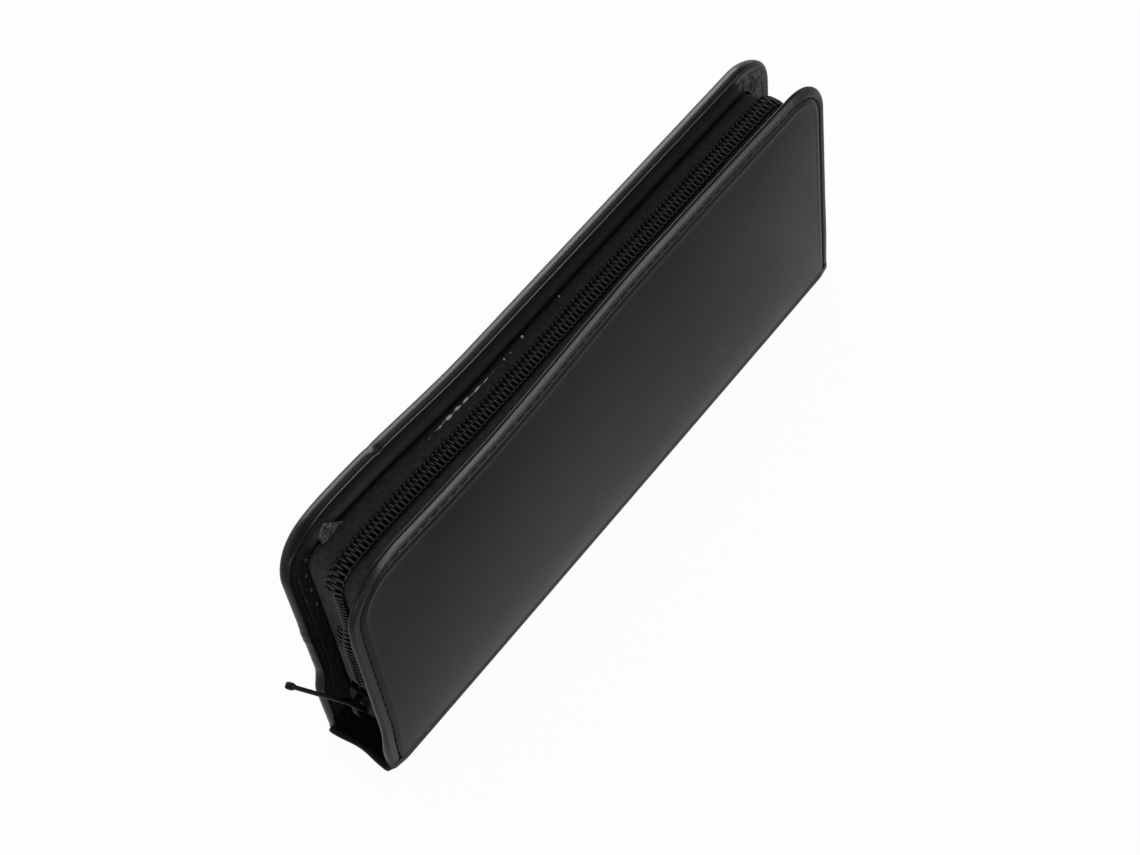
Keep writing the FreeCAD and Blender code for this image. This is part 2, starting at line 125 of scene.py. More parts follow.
ROW_SHARE = {FRONT: 0.0, BACK: 0.5}
NEAR_LIFT = 1.7 * MM        # the tape stands further out along the near end
RIM_ROUGH = 0.35 * MM       # how far the back rim is roughened
CREASE_DEPTH = 0.55 * MM
CREASE_WIDTH = 0.9 * MM
INNER_SEAM_DEPTH = 0.16 * MM
PLEAT_DEPTH = 0.34 * MM     # inside, round the corners
WRINKLE_DEPTH = 0.30 * MM
FOLD_SWELL = 0.6 * MM       # how far the fold to the spine is rounded out
NEAR_REACH = 1.8 * MM       # how far the spine's leather reaches past the near end
CLOTH_SLACK = 0.10 * MM
TAPE_SAG = 0.14 * MM
TAPE_RIPPLE = 0.05 * MM
# How far the soft case stands out of true, in millimetres
FRONT_DRAW = 0.9            # the front rim, drawn in up the near end
CORNER_DRAW = 1.0           # and further round the corner
BACK_DRAW = 1.9
FRONT_LEAN = 0.4            # the front cover, all along
FAR_LEAN = 1.9              # further towards the far end
END_LEAN = 0.3              # and less again at that end
CORNER_LEAN = 0.35          # further at the near corner
BACK_LEAN = 1.8
ZIP_LEAN = 0.55             # the share of both covers' mean lean that the zip's middle keeps
SEED = {"rim": 51, "rough rim": 61, "wrinkles": 71, "panel": 7, "lining": 21, "pocket": 33,
        "bead": 81, "lumps": 82, "film": 83}

# Points along the longer grids
SKIN_COUNT = 440
SLAB_COUNT = 120
LINING_COUNT = 260
TAPE_COUNT = 420
TURN_STEPS = 22             # in each turn of the coil


# Curves
def smooth_step(value):
    """Rises from 0 to 1 with level ends as the value goes from 0 to 1."""
    share = np.clip(value, 0.0, 1.0)
    return share * share * (3.0 - 2.0 * share)


def ease(value, start, span):
    """Rises from 0 to 1 with level ends, from a start and over a span that are given in millimetres."""
    return smooth_step((value - start * MM) / (span * MM))


def bell(value, width):
    """A bell curve of height 1 about 0."""
    return np.exp(-(value / width) ** 2)


def power(value, exponent):
    """A power that keeps the value's sign."""
    return np.sign(value) * np.abs(value) ** exponent


def spindle(along, exponent, least):
    """The half width of a spindle at places from -1 to 1: 1 in the middle, and closing at both ends."""
    return np.sqrt(np.clip(1.0 - np.abs(along) ** exponent, least, 1.0))


def full_turn(sides):
    """Even angles round a full turn."""
    return np.linspace(0.0, 2.0 * math.pi, sides, endpoint=False)


def unit(ways):
    """Directions at length 1."""
    return ways / np.linalg.norm(ways, axis=-1, keepdims=True)


def spread(x, y, z):
    """Points from three coordinates, each spread to their common shape."""
    return np.stack(np.broadcast_arrays(x, y, z), axis=-1)


def waves(x, z, seed, longest, count):
    """A sum of sines in random directions, each shorter and weaker than the one before, of size about 1."""
    draw = np.random.default_rng(seed)
    total = np.zeros(np.broadcast(x, z).shape)
    for index in range(count):
        angle = draw.uniform(0.0, math.pi)
        phase = draw.uniform(0.0, 2.0 * math.pi)
        length = longest / (1.0 + 0.7 * index)
        along = (x * math.cos(angle) + z * math.sin(angle)) / length
        total = total + np.sin(2.0 * math.pi * along + phase) / (1.0 + index)
    return total / 2.0


def edge_length(inset, foot):
    """The length of an inset line from its near foot over the zip edge to its far foot."""
    radius = CORNER - inset
    leg = HEIGHT - inset - radius - foot
    return 2.0 * leg + math.pi * radius + 2.0 * (HALF_LENGTH - inset - radius)


def edge_path(inset, foot, distance):
    """Points on a line inside the case's outline, at distances from its near foot: up the near leg, a
    quarter turn, along the zip edge, a quarter turn and down the far leg. Also gives the outward normals
    and the shares of both quarter turns that lie behind each point."""
    radius = CORNER - inset
    half = HALF_LENGTH - inset
    top = HEIGHT - inset
    leg = top - radius - foot
    bend = radius * math.pi / 2
    run = 2.0 * (half - radius)
    near_turn = np.clip((distance - leg) / radius, 0.0, math.pi / 2)
    far_turn = np.clip((distance - leg - bend - run) / radius, 0.0, math.pi / 2)
    x = -half + radius * (1.0 - np.cos(near_turn)) + np.clip(distance - leg - bend, 0.0, run)
    x = x + radius * np.sin(far_turn)
    z = foot + np.minimum(distance, leg) + radius * np.sin(near_turn)
    z = z - radius * (1.0 - np.cos(far_turn)) - np.maximum(distance - leg - 2.0 * bend - run, 0.0)
    heading = math.pi / 2 - near_turn - far_turn
    normal = np.stack([-np.sin(heading), np.cos(heading)], axis=-1)
    return np.stack([x, z], axis=-1), normal, near_turn / (math.pi / 2), far_turn / (math.pi / 2)


def inset_of(x, z):
    """The distance from points of a cover to its rounded outline, which is open at the spine."""
    side = np.abs(x) - (HALF_LENGTH - CORNER)
    above = z - (HEIGHT - CORNER)
    corner = np.hypot(np.maximum(side, 0.0), np.maximum(above, 0.0))
    return CORNER - corner - np.minimum(np.maximum(side, above), 0.0)


def ruled(start, share):
    """Points on straight lines from a line inside a cover to the fold, at shares of the way."""
    line = spread(np.linspace(start[0, 0], start[-1, 0], len(start)), FOOT, 0.0)[:, :2]
    return start[:, None] + (line - start)[:, None] * share[None, :, None]


def turned_up(edge, low, top, bend, counts):
    """A strip's section from the middle of the spine: level, round a quarter ellipse and upright. Gives its
    places across and up, and the angle that it has turned by."""
    wide, tall = bend
    flat, round_off, upright = counts
    turn = np.linspace(0.0, math.pi / 2, round_off)[1:]
    y = np.concatenate([np.linspace(0.0, edge - wide, flat), edge - wide + wide * np.sin(turn),
                        np.full(upright - 1, edge)])
    z = np.concatenate([np.full(flat, low), low + tall * (1.0 - np.cos(turn)),
                        np.linspace(low + tall, top, upright)[1:]])
    return y, z, np.concatenate([np.zeros(flat), turn, np.full(upright - 1, math.pi / 2)])


def seam_inset(near_share, far_share):
    """How far the seam lies from the rim: wide at the near end, close along the zip edge and far end."""
    near = smooth_step(near_share)
    far = smooth_step(far_share)
    return SEAM_NEAR + (SEAM_TOP - SEAM_NEAR) * near + (SEAM_FAR - SEAM_TOP) * far


def rim_section(shape):
    """Insets and depths across a cover's edge, from the turned-in edge to the outer face: flat along the
    inside, round the inner edge, over the broad round and down the pressed slope, and back to level."""
    edge, stands_over, top, slope, (start, middle, end), last = shape
    turn = np.radians(np.concatenate([np.linspace(-90, start, EDGE_POINTS),
                                      np.linspace(start, middle, BAND_STEPS + 1)[1:],
                                      np.linspace(middle, end, BAND_STEPS + 1)[1:],
                                      np.linspace(end, 90, LEVEL_POINTS)[1:]]))
    step = np.concatenate([edge * np.diff(turn[:EDGE_POINTS]), np.full(BAND_STEPS, top / BAND_STEPS),
                           np.full(BAND_STEPS, slope / BAND_STEPS),
                           last * np.diff(turn[-LEVEL_POINTS:])]) * MM
    between = (turn[1:] + turn[:-1]) / 2
    inset = np.concatenate([[0.0], np.cumsum(step * np.sin(between))])
    inset = inset - inset.min()
    depth = COVER + stands_over * MM - np.concatenate([[0.0], np.cumsum(step * np.cos(between))])
    lip_inset = TURN_IN - np.array([0.0, 0.03, 0.2]) * MM
    lip_depth = COVER - np.array([0.6, 0.12, 0.0]) * MM
    inside = np.linspace(lip_inset[-1], inset[0], INSIDE - 1)[1:-1]
    fade = max(1.7, -2.8 * stands_over) * MM
    bulge = stands_over * MM * (1.0 - smooth_step((inside - inset[0]) / fade))
    return np.concatenate([lip_inset, inside, inset]), np.concatenate([lip_depth, COVER + bulge, depth])


def rim_along(side, near_share, far_share, distance):
    """The edge's insets and depths at places round a cover: one shape at the foot, one up the legs and
    another along the zip."""
    along_zip = smooth_step(near_share / 0.8) * (1.0 - smooth_step((far_share - 0.2) / 0.8))
    up_leg = ease(np.minimum(distance, edge_length(0.0, FOOT) - distance), 1.5, 11.0)
    made = []
    for foot, leg, top in zip(*map(rim_section, (ALONG_FOOT, ALONG_LEGS[side], ALONG_ZIP[side]))):
        up = foot + (leg - foot) * up_leg[..., None]
        made.append(up + (top - up) * along_zip[..., None])
    return made


def edge_wear(side, distance):
    """How far a rim stands out of its line: the back one is roughened up its near end and has one crease."""
    if side == FRONT:
        return np.zeros(len(distance))
    rough = RIM_ROUGH * np.maximum(waves(distance, 0.0, SEED["rough rim"], 9 * MM, 4), 0.0)
    stretch = ease(distance, 12, 6) * ease(-distance, -52, 8)
    crease_at = HEIGHT - CORNER - FOOT + CORNER * math.pi / 2 + CREASE_X + HALF_LENGTH - CORNER
    return rough * stretch - CREASE_DEPTH * bell(distance - crease_at, CREASE_WIDTH)


def edge_draw(side, distance):
    """How far the soft rims are drawn in at the near end: most round the corner in front, and all the way up
    at the back."""
    past_corner = distance - (HEIGHT - CORNER - FOOT + CORNER * math.pi / 4)
    leave = 1.0 - ease(past_corner, 2, 14)
    if side == FRONT:
        return leave * (FRONT_DRAW * ease(distance, 4, 12) + CORNER_DRAW * ease(past_corner, -16, 14)) * MM
    return leave * BACK_DRAW * ease(distance, 14, 8) * MM


WALL_AT = np.linspace(0.0, 6.0, 121) * MM
WALL_TILT = 13.0 * (1.0 - smooth_step((WALL_AT - SEAM_WALL) / (0.45 * MM)))
WALL_TILT = WALL_TILT - 8.5 * bell(WALL_AT - SEAM_WALL - 0.8 * MM, 0.4 * MM)
WALL_RISE = np.cumsum(np.tan(np.radians(WALL_TILT))) * (WALL_AT[1] - WALL_AT[0])


def panel_lift(past_seam, x, z):
    """How far the leather stands out behind the seam: up a short wall with a small crest, and then with the
    padding, which rises from each of the three free sides."""
    rise = [1.0 - np.exp(-np.maximum(room - SEAM_TOP, 0.0) / CROWN_REACH)
            for room in (HEIGHT - z, HALF_LENGTH - np.abs(x))]
    return np.interp(np.maximum(past_seam, 0.0), WALL_AT, WALL_RISE) + CROWN * rise[0] * rise[1]


def held(z):
    """The share of the lift at a height: a fifth at the fold to the spine, all at the zip edge."""
    down = np.clip((HEIGHT - z) / (HEIGHT - FOOT), 0.0, 1.0)
    return 1.0 - 0.65 * down ** 1.6 - 0.15 * np.exp(-np.maximum(z - FOOT, 0.0) / (4.0 * MM))


def near_lift(x, z):
    """How far the tape and its coil stand out towards the near end: most above the slider, less inside it
    and where it ends its run, and nothing past the corner."""
    run = ease(-x - HALF_LENGTH, -14, 5)
    swell = ease(z - SLIDER_HIGH[2], 0, 6) * ease(-z, -47, 9)
    inside = 0.2 * ease(-z, -46, 5)
    return NEAR_LIFT * run * (inside + 0.8 * swell) * ease(z, 4, 7)


def cover_lean(side, x):
    """How far a cover's zip edge leans towards the back: the front one more towards the far end, the back
    one only near the near corner, as the soft case stands a little twisted."""
    if side == FRONT:
        towards_far = FAR_LEAN * ease(x, -40, 60) - END_LEAN * ease(x, 35, 50)
        return (FRONT_LEAN + towards_far + CORNER_LEAN * ease(-x, 48, 25)) * MM
    return BACK_LEAN * MM * ease(-x, 22, 40)


def leaned(points, side, whole):
    """Points of a cover moved with its lean, which grows evenly from the spine up. The zip's middle keeps
    about half of both covers' mean, less at the near end, and its tape passes from that to its own cover's
    lean."""
    x, y, z = points[..., 0], points[..., 1], points[..., 2]
    own = cover_lean(side, x)
    past_leg = 0.4 + 0.6 * ease(x + HALF_LENGTH, 9, 12)
    middle = ZIP_LEAN * past_leg * (cover_lean(FRONT, x) + cover_lean(BACK, x)) / 2
    share = 1.0 if whole else smooth_step((np.abs(y) - COIL_OUT) / (INNER_FACE - COIL_OUT))
    shift = (middle + (own - middle) * share) * np.clip(z - FOOT, 0.0, None) / (HEIGHT - FOOT)
    return spread(x, y + shift, z)


# Meshes
def quads(rows, columns, wrap_rows, wrap_columns, flip):
    """Corner numbers of the quads of a grid, closed along either way if asked."""
    row = np.arange(rows if wrap_rows else rows - 1)
    column = np.arange(columns if wrap_columns else columns - 1)
    row, column = np.meshgrid(row, column, indexing="ij")
    next_row = (row + 1) % rows
    next_column = (column + 1) % columns
    corners = [row * columns + column, next_row * columns + column,
               next_row * columns + next_column, row * columns + next_column]
    if flip:
        corners.reverse()
    return np.stack(corners, axis=-1).reshape(-1, 4)


def closed_ends(points):
    """Rings along a tube with a pole added at both ends, the last axes being ring, corner and place."""
    ends = points[..., [0, -1], :, :]
    poles = np.broadcast_to(ends.mean(axis=-2, keepdims=True), ends.shape)
    return np.concatenate([poles[..., :1, :, :], points, poles[..., 1:, :, :]], axis=-3)


def outward(flat, faces):
    """Faces of a closed form, turned round if the form's signed volume says that they point inwards."""
    corner = flat[faces]
    halves = np.cross(corner[:, 2] - corner[:, 0], corner[:, 3] - corner[:, 1]) / 6
    return faces if np.sum(halves * corner.mean(axis=1)) > 0 else faces[:, ::-1]


def grid(points, wrap_rows=False, wrap_columns=False, flip=False, uv=None):
    """One grid of points for a piece: its points, its quads and its map. Rings are closed at both ends."""
    if wrap_columns and not wrap_rows:
        points = closed_ends(points)
    rows, columns = points.shape[:2]
    faces = quads(rows, columns, wrap_rows, wrap_columns, flip)
    flat = points.reshape(-1, 3)
    mapped = np.zeros((len(flat), 2)) if uv is None else uv.reshape(-1, 2)
    return flat, outward(flat, faces) if wrap_columns else faces, mapped


def tubes(*many):
    """Closed grids, one for each set of rings."""
    return [grid(points, wrap_columns=True) for points in many]


def copies(points):
    """Many small tubes of one kind as one: points has the copies on its first axis."""
    points = closed_ends(points)
    count, rows, columns = points.shape[:3]
    faces = outward(points[0].reshape(-1, 3), quads(rows, columns, False, True, False))
    starts = (np.arange(count) * rows * columns)[:, None, None]
    flat = points.reshape(-1, 3)
    return flat, (faces[None] + starts).reshape(-1, 4), np.zeros((len(flat), 2))


WELD = 1e-7     # points closer than this become one
SLIVER = 1e-8   # edges shorter than this are dissolved


def piece(name, grids, surface, body=None, stands_for=(), on_tape=False):
    """A mesh object of one or more grids, with its material, the body that it rides on and the nodes
    that it stands for. Pieces of a cover take its lean."""
    parts, corners, maps = zip(*grids)
    starts = np.cumsum([0] + [len(part) for part in parts])
    points, maps = np.concatenate(parts), np.concatenate(maps)
    faces = np.concatenate([corner + start for corner, start in zip(corners, starts)])
    if body in COVER_SIDE:
        points = leaned(points, COVER_SIDE[body], not on_tape)
    mesh = bpy.data.meshes.new(name)
    mesh.vertices.add(len(points))
    mesh.vertices.foreach_set("co", points.astype(np.float32).ravel())
    mesh.loops.add(faces.size)
    mesh.loops.foreach_set("vertex_index", faces.astype(np.int32).ravel())
    mesh.polygons.add(len(faces))
    mesh.polygons.foreach_set("loop_start", np.arange(0, faces.size, 4, dtype=np.int32))
    mesh.update(calc_edges=True)
    layer = mesh.uv_layers.new(name="UVMap")
    layer.data.foreach_set("uv", maps[faces.ravel()].astype(np.float32).ravel())
    mesh.validate()
    welded = bmesh.new()
    welded.from_mesh(mesh)
    bmesh.ops.remove_doubles(welded, verts=welded.verts, dist=WELD)
    bmesh.ops.dissolve_degenerate(welded, edges=welded.edges, dist=SLIVER)
    welded.to_mesh(mesh)
    welded.free()
    mesh.polygons.foreach_set("use_smooth", np.ones(len(mesh.polygons), dtype=bool))
    mesh.materials.append(surface)
    made = bpy.data.objects.new(name, mesh)
    bpy.context.scene.collection.objects.link(made)
    if body:
        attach(made, body)
    if stands_for:
        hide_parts(*stands_for)
    return made


def cover_piece(side, name, grids, surface, node, on_tape=False):
    """A piece of one cover that stands for one of its nodes."""
    cover = COVER_NAME[side] + "_"
    return piece(cover + name, grids, surface, COVER_BODY[side], [cover + node], on_tape)


def thicken(made, thickness, offset):
    """Gives a sheet its thickness."""
    solid = made.modifiers.new("thickness", "SOLIDIFY")
    solid.thickness = thickness
    solid.offset = offset


def tube(path, radius, sides, across):
    """A tube round a path; across is a direction that the path never takes."""
    tangent = unit(np.gradient(path, axis=0))
    first = unit(np.cross(across, tangent))
    second = np.cross(tangent, first)
    angle = full_turn(sides)[None, :, None]
    return path[:, None] + (first[:, None] * np.cos(angle) + second[:, None] * np.sin(angle)) * radius


def swept(path, wide, tall, half_wide, half_tall, sides=16, square=0.6):
    """A rounded bar: at each point of a path, a superellipse across two directions."""
    angle = full_turn(sides)
    made = path[:, None]
    for way, half, turned in ((wide, half_wide, np.cos(angle)), (tall, half_tall, np.sin(angle))):
        reach = np.reshape(half, (-1, 1)) * power(turned, square)
        made = made + np.broadcast_to(way, path.shape)[:, None] * reach[..., None]
    return made


def rounded_ends(share, tip):
    """A size along a bar that closes in a quarter ellipse at both ends: 0 at share 0 and 1, else 1."""
    from_end = np.clip(np.minimum(share, 1.0 - share) / tip, 0.0, 1.0)
    return spindle(1.0 - from_end, 2, 1e-6)


# Materials
def add(tree, kind, inputs=None, **options):
    """Adds a shader node, sets its options, and sets or links its inputs."""
    made = tree.nodes.new(kind)
    for option, value in options.items():
        setattr(made, option, value)
    for name, value in (inputs or {}).items():
        socket = made.inputs[name]
        if isinstance(value, bpy.types.NodeSocket):
            tree.links.new(value, socket)
        else:
            socket.default_value = value
    return made


def math_node(tree, operation, first, second=0.0, third=0.0):
    """The result of one sum."""
    return add(tree, "ShaderNodeMath", {0: first, 1: second, 2: third}, operation=operation).outputs[0]


def ramp(tree, value, low, high, to_low=0.0, to_high=1.0):
    """A value stretched from one range to another, held at its ends."""
    inputs = {"Value": value, "From Min": low, "From Max": high, "To Min": to_low, "To Max": to_high}
    return add(tree, "ShaderNodeMapRange", inputs, clamp=True).outputs["Result"]


def blend_colour(tree, share, first, second):
    """A colour between two others."""
    return add(tree, "ShaderNodeMix", {0: share, 6: first, 7: second}, data_type="RGBA").outputs[2]


def noise(tree, place, scale, detail):
    """Soft noise: its value and its colour."""
    return add(tree, "ShaderNodeTexNoise", {"Vector": place, "Scale": scale, "Detail": detail}).outputs


def split(tree, place):
    """The three parts of a place."""
    return add(tree, "ShaderNodeSeparateXYZ", {"Vector": place}).outputs


def grey(value, tint=0.0):
    """A nearly neutral colour, a little warmer or cooler by its tint."""
    return (value * (1.0 + tint), value, value * (1.0 - tint), 1.0)


def effect(name, inputs, outputs):
    """A shader node group with named inputs, which are places where no number is given, and outputs."""
    made = bpy.data.node_groups.new(name, "ShaderNodeTree")
    for label, value in inputs.items():
        kind = "NodeSocketVector" if value is None else "NodeSocketFloat"
        socket = made.interface.new_socket(label, in_out="INPUT", socket_type=kind)
        if value is not None:
            socket.default_value = value
    for label in outputs:
        made.interface.new_socket(label, in_out="OUTPUT", socket_type="NodeSocketFloat")
    return made, made.nodes.new("NodeGroupInput").outputs, made.nodes.new("NodeGroupOutput").inputs


def grain_effect():
    """Leather grain: small cells with creases between them, over a soft unevenness."""
    group, given, out = effect("leather_grain", {"Vector": None, "Cells": 1500.0}, ["Height", "Unevenness"])
    place = given["Vector"]
    warp = noise(group, place, 420.0, 2.0)["Color"]
    bent = add(group, "ShaderNodeVectorMath", {0: warp, 1: (0.0012, 0.0012, 0.0012)}, operation="MULTIPLY")
    moved = add(group, "ShaderNodeVectorMath", {0: place, 1: bent.outputs[0]}, operation="ADD")
    cells = add(group, "ShaderNodeTexVoronoi", {"Vector": moved.outputs[0], "Scale": given["Cells"]},
                feature="DISTANCE_TO_EDGE")
    crease = ramp(group, cells.outputs["Distance"], 0.0, 0.16)
    soft = noise(group, place, 60.0, 4.0)["Fac"]
    fine = noise(group, place, 5200.0, 2.0)["Fac"]
    group.links.new(math_node(group, "MULTIPLY_ADD", fine, 0.35, crease), out["Height"])
    group.links.new(soft, out["Unevenness"])
    return group


def weave_effect():
    """Woven cloth on a map in metres: slanted ribs that turn back at even widths, cut by the cross thread."""
    sizes = {"Along": 0.0, "Across": 0.0, "Thread": 0.0005, "Turn": 0.002}
    group, given, out = effect("woven_cloth", sizes, ["Height"])
    folded = math_node(group, "PINGPONG", given["Across"], given["Turn"])
    slant = math_node(group, "DIVIDE", math_node(group, "ADD", given["Along"], folded), given["Thread"])
    rib = math_node(group, "SINE", math_node(group, "MULTIPLY", slant, 2.0 * math.pi))
    cross = math_node(group, "DIVIDE", given["Across"], given["Thread"])
    weft = math_node(group, "SINE", math_node(group, "MULTIPLY", cross, 4.0 * math.pi))
    height = math_node(group, "MULTIPLY_ADD", weft, 0.25, math_node(group, "MULTIPLY_ADD", rib, 0.5, 0.5))
    group.links.new(height, out["Height"])
    return group


def dust_effect():
    """Sparse pale specks of dust."""
    group, given, out = effect("dust", {"Vector": None}, ["Mask"])
    cells = add(group, "ShaderNodeTexVoronoi", {"Vector": given["Vector"], "Scale": 260.0}, feature="F1")
    speck = ramp(group, cells.outputs["Distance"], 0.035, 0.06, 1.0, 0.0)
    chosen = add(group, "ShaderNodeSeparateColor", {"Color": cells.outputs["Color"]})
    few = ramp(group, chosen.outputs[0], 0.955, 0.96)
    group.links.new(math_node(group, "MULTIPLY", speck, few), out["Mask"])
    return group


GRAIN = grain_effect()
WEAVE = weave_effect()
DUST = dust_effect()
LEATHER_GLOSS = 0.09
CLOTH_GLOSS = 0.12
CLOTH_SHEEN = 0.02
# The lighter tone painted where shade falls: inside the trench and on the fold's lower edge
PAINTED_FILL_TONE = 0.05
DUST_TONE = 0.3
DUST_SHARE = 0.35
RIM_COAT = 0.16
COAT_ROUGHNESS = 0.24
GRAIN_DEPTH = 0.04 * MM
WEAVE_DEPTH = 0.08 * MM
NOISE_DEPTH = 0.05 * MM


def material(name, specular, sheen=0.0):
    """A new material: its tree, its shader and the coordinates of the piece."""
    made = bpy.data.materials.new(name)
    made.use_nodes = True
    tree = made.node_tree
    shader = tree.nodes["Principled BSDF"]
    shader.inputs["Specular IOR Level"].default_value = specular
    shader.inputs["Sheen Weight"].default_value = sheen
    place = tree.nodes.new("ShaderNodeTexCoord")
    return made, tree, shader, place.outputs


def finish(tree, shader, colour, roughness, height, strength, distance):
    """Joins colour, roughness and bump to the shader."""
    tree.links.new(colour, shader.inputs["Base Color"])
    tree.links.new(roughness, shader.inputs["Roughness"])
    bump = add(tree, "ShaderNodeBump", {"Height": height, "Strength": strength, "Distance": distance})
    tree.links.new(bump.outputs["Normal"], shader.inputs["Normal"])


def leather(name, dark, light, low_rough, high_rough, bump):
    """Smooth black leather: fine grain, a slightly uneven tone and gloss, and a few specks of dust. The map
    says where it is a polished rim, which gets a coat, and where its tone is painted lighter against shade."""
    made, tree, shader, place = material(name, LEATHER_GLOSS)
    grain = add(tree, "ShaderNodeGroup", {"Vector": place["Object"]}, node_tree=GRAIN).outputs
    uneven = ramp(tree, grain["Unevenness"], 0.35, 0.65)
    dust = add(tree, "ShaderNodeGroup", {"Vector": place["Object"]}, node_tree=DUST).outputs["Mask"]
    share = split(tree, place["UV"])
    tone = blend_colour(tree, uneven, grey(dark), grey(light))
    # Painted light: the map's second share lightens the tone where shade falls
    tone = blend_colour(tree, share[1], tone, grey(PAINTED_FILL_TONE))
    tone = blend_colour(tree, math_node(tree, "MULTIPLY", dust, DUST_SHARE), tone, grey(DUST_TONE))
    rough = math_node(tree, "MULTIPLY_ADD", uneven, high_rough - low_rough, low_rough)
    tree.links.new(math_node(tree, "MULTIPLY", share[0], RIM_COAT), shader.inputs["Coat Weight"])
    shader.inputs["Coat Roughness"].default_value = COAT_ROUGHNESS
    finish(tree, shader, tone, rough, grain["Height"], bump, GRAIN_DEPTH)
    return made


def woven(name, dark, light, thread, turn, bump, rough):
    """Woven black cloth on the piece's own map."""
    made, tree, shader, place = material(name, CLOTH_GLOSS, CLOTH_SHEEN)
    along, across, _ = split(tree, place["UV"])
    inputs = {"Along": along, "Across": across, "Thread": thread, "Turn": turn}
    height = add(tree, "ShaderNodeGroup", inputs, node_tree=WEAVE).outputs["Height"]
    fuzz = noise(tree, place["Object"], 900.0, 3.0)["Fac"]
    tone = blend_colour(tree, math_node(tree, "MULTIPLY", height, fuzz), grey(dark), grey(light))
    roughness = ramp(tree, fuzz, 0.3, 0.7, rough, min(rough + 0.15, 1.0))
    finish(tree, shader, tone, roughness, height, bump, WEAVE_DEPTH)
    return made


def plain_finish(name, dark, light, rough, scale, bump, specular=0.5):
    """Nylon, thread, paint, glue, foam or board: a tone that varies over small noise, with a light bump."""
    made, tree, shader, place = material(name, specular)
    speckle = noise(tree, place["Object"], scale, 4.0)["Fac"]
    share = ramp(tree, speckle, 0.3, 0.7)
    tone = blend_colour(tree, share, dark, light)
    roughness = math_node(tree, "MULTIPLY_ADD", share, 0.12, rough)
    finish(tree, shader, tone, roughness, speckle, bump, NOISE_DEPTH)
    return made


# Dark and light tone, then least and most roughness and bump, or thread, turn, bump and roughness, or
# roughness, fineness and bump
LEATHER = leather("black_leather", 0.0045, 0.006, 0.27, 0.33, 0.22)
TAPE_CLOTH = woven("zip_tape_cloth", 0.008, 0.12, 0.00042, 0.0014, 0.9, 0.7)
LINING_CLOTH = woven("lining_cloth", 0.018, 0.045, 0.0004, 0.0008, 0.6, 0.75)
RIBBON = woven("pocket_ribbon", 0.014, 0.040, 0.0006, 0.006, 0.7, 0.6)
ELASTIC = woven("ribbed_elastic", 0.010, 0.034, 0.0009, 0.0009, 1.0, 0.75)
NYLON = plain_finish("coil_nylon", grey(0.008), grey(0.014), 0.12, 700.0, 0.1, specular=0.4)
THREAD_FIBRE = plain_finish("sewing_thread", grey(0.002), grey(0.006), 0.7, 3000.0, 0.8, specular=0.03)
BLACK_PAINT = plain_finish("black_paint", grey(0.004), grey(0.007), 0.45, 900.0, 0.1, specular=0.06)
BOARD_FIBRE = plain_finish("black_board", grey(0.010), grey(0.022), 0.8, 1500.0, 0.6, specular=0.1)
DRIED_GLUE = plain_finish("dried_glue", (0.55, 0.52, 0.42, 1.0), (0.95, 0.92, 0.80, 1.0), 0.35, 1500.0, 0.4)
GLUE_FILM = plain_finish("glue_film", grey(0.002), grey(0.11, 0.02), 0.18, 900.0, 1.0)
FOAM = plain_finish("dark_foam", grey(0.02), grey(0.035), 0.85, 2200.0, 0.9, specular=0.1)


# The leather of the covers
FOLD_LINE = {}      # how far each cover's leather stands out where it meets the fold


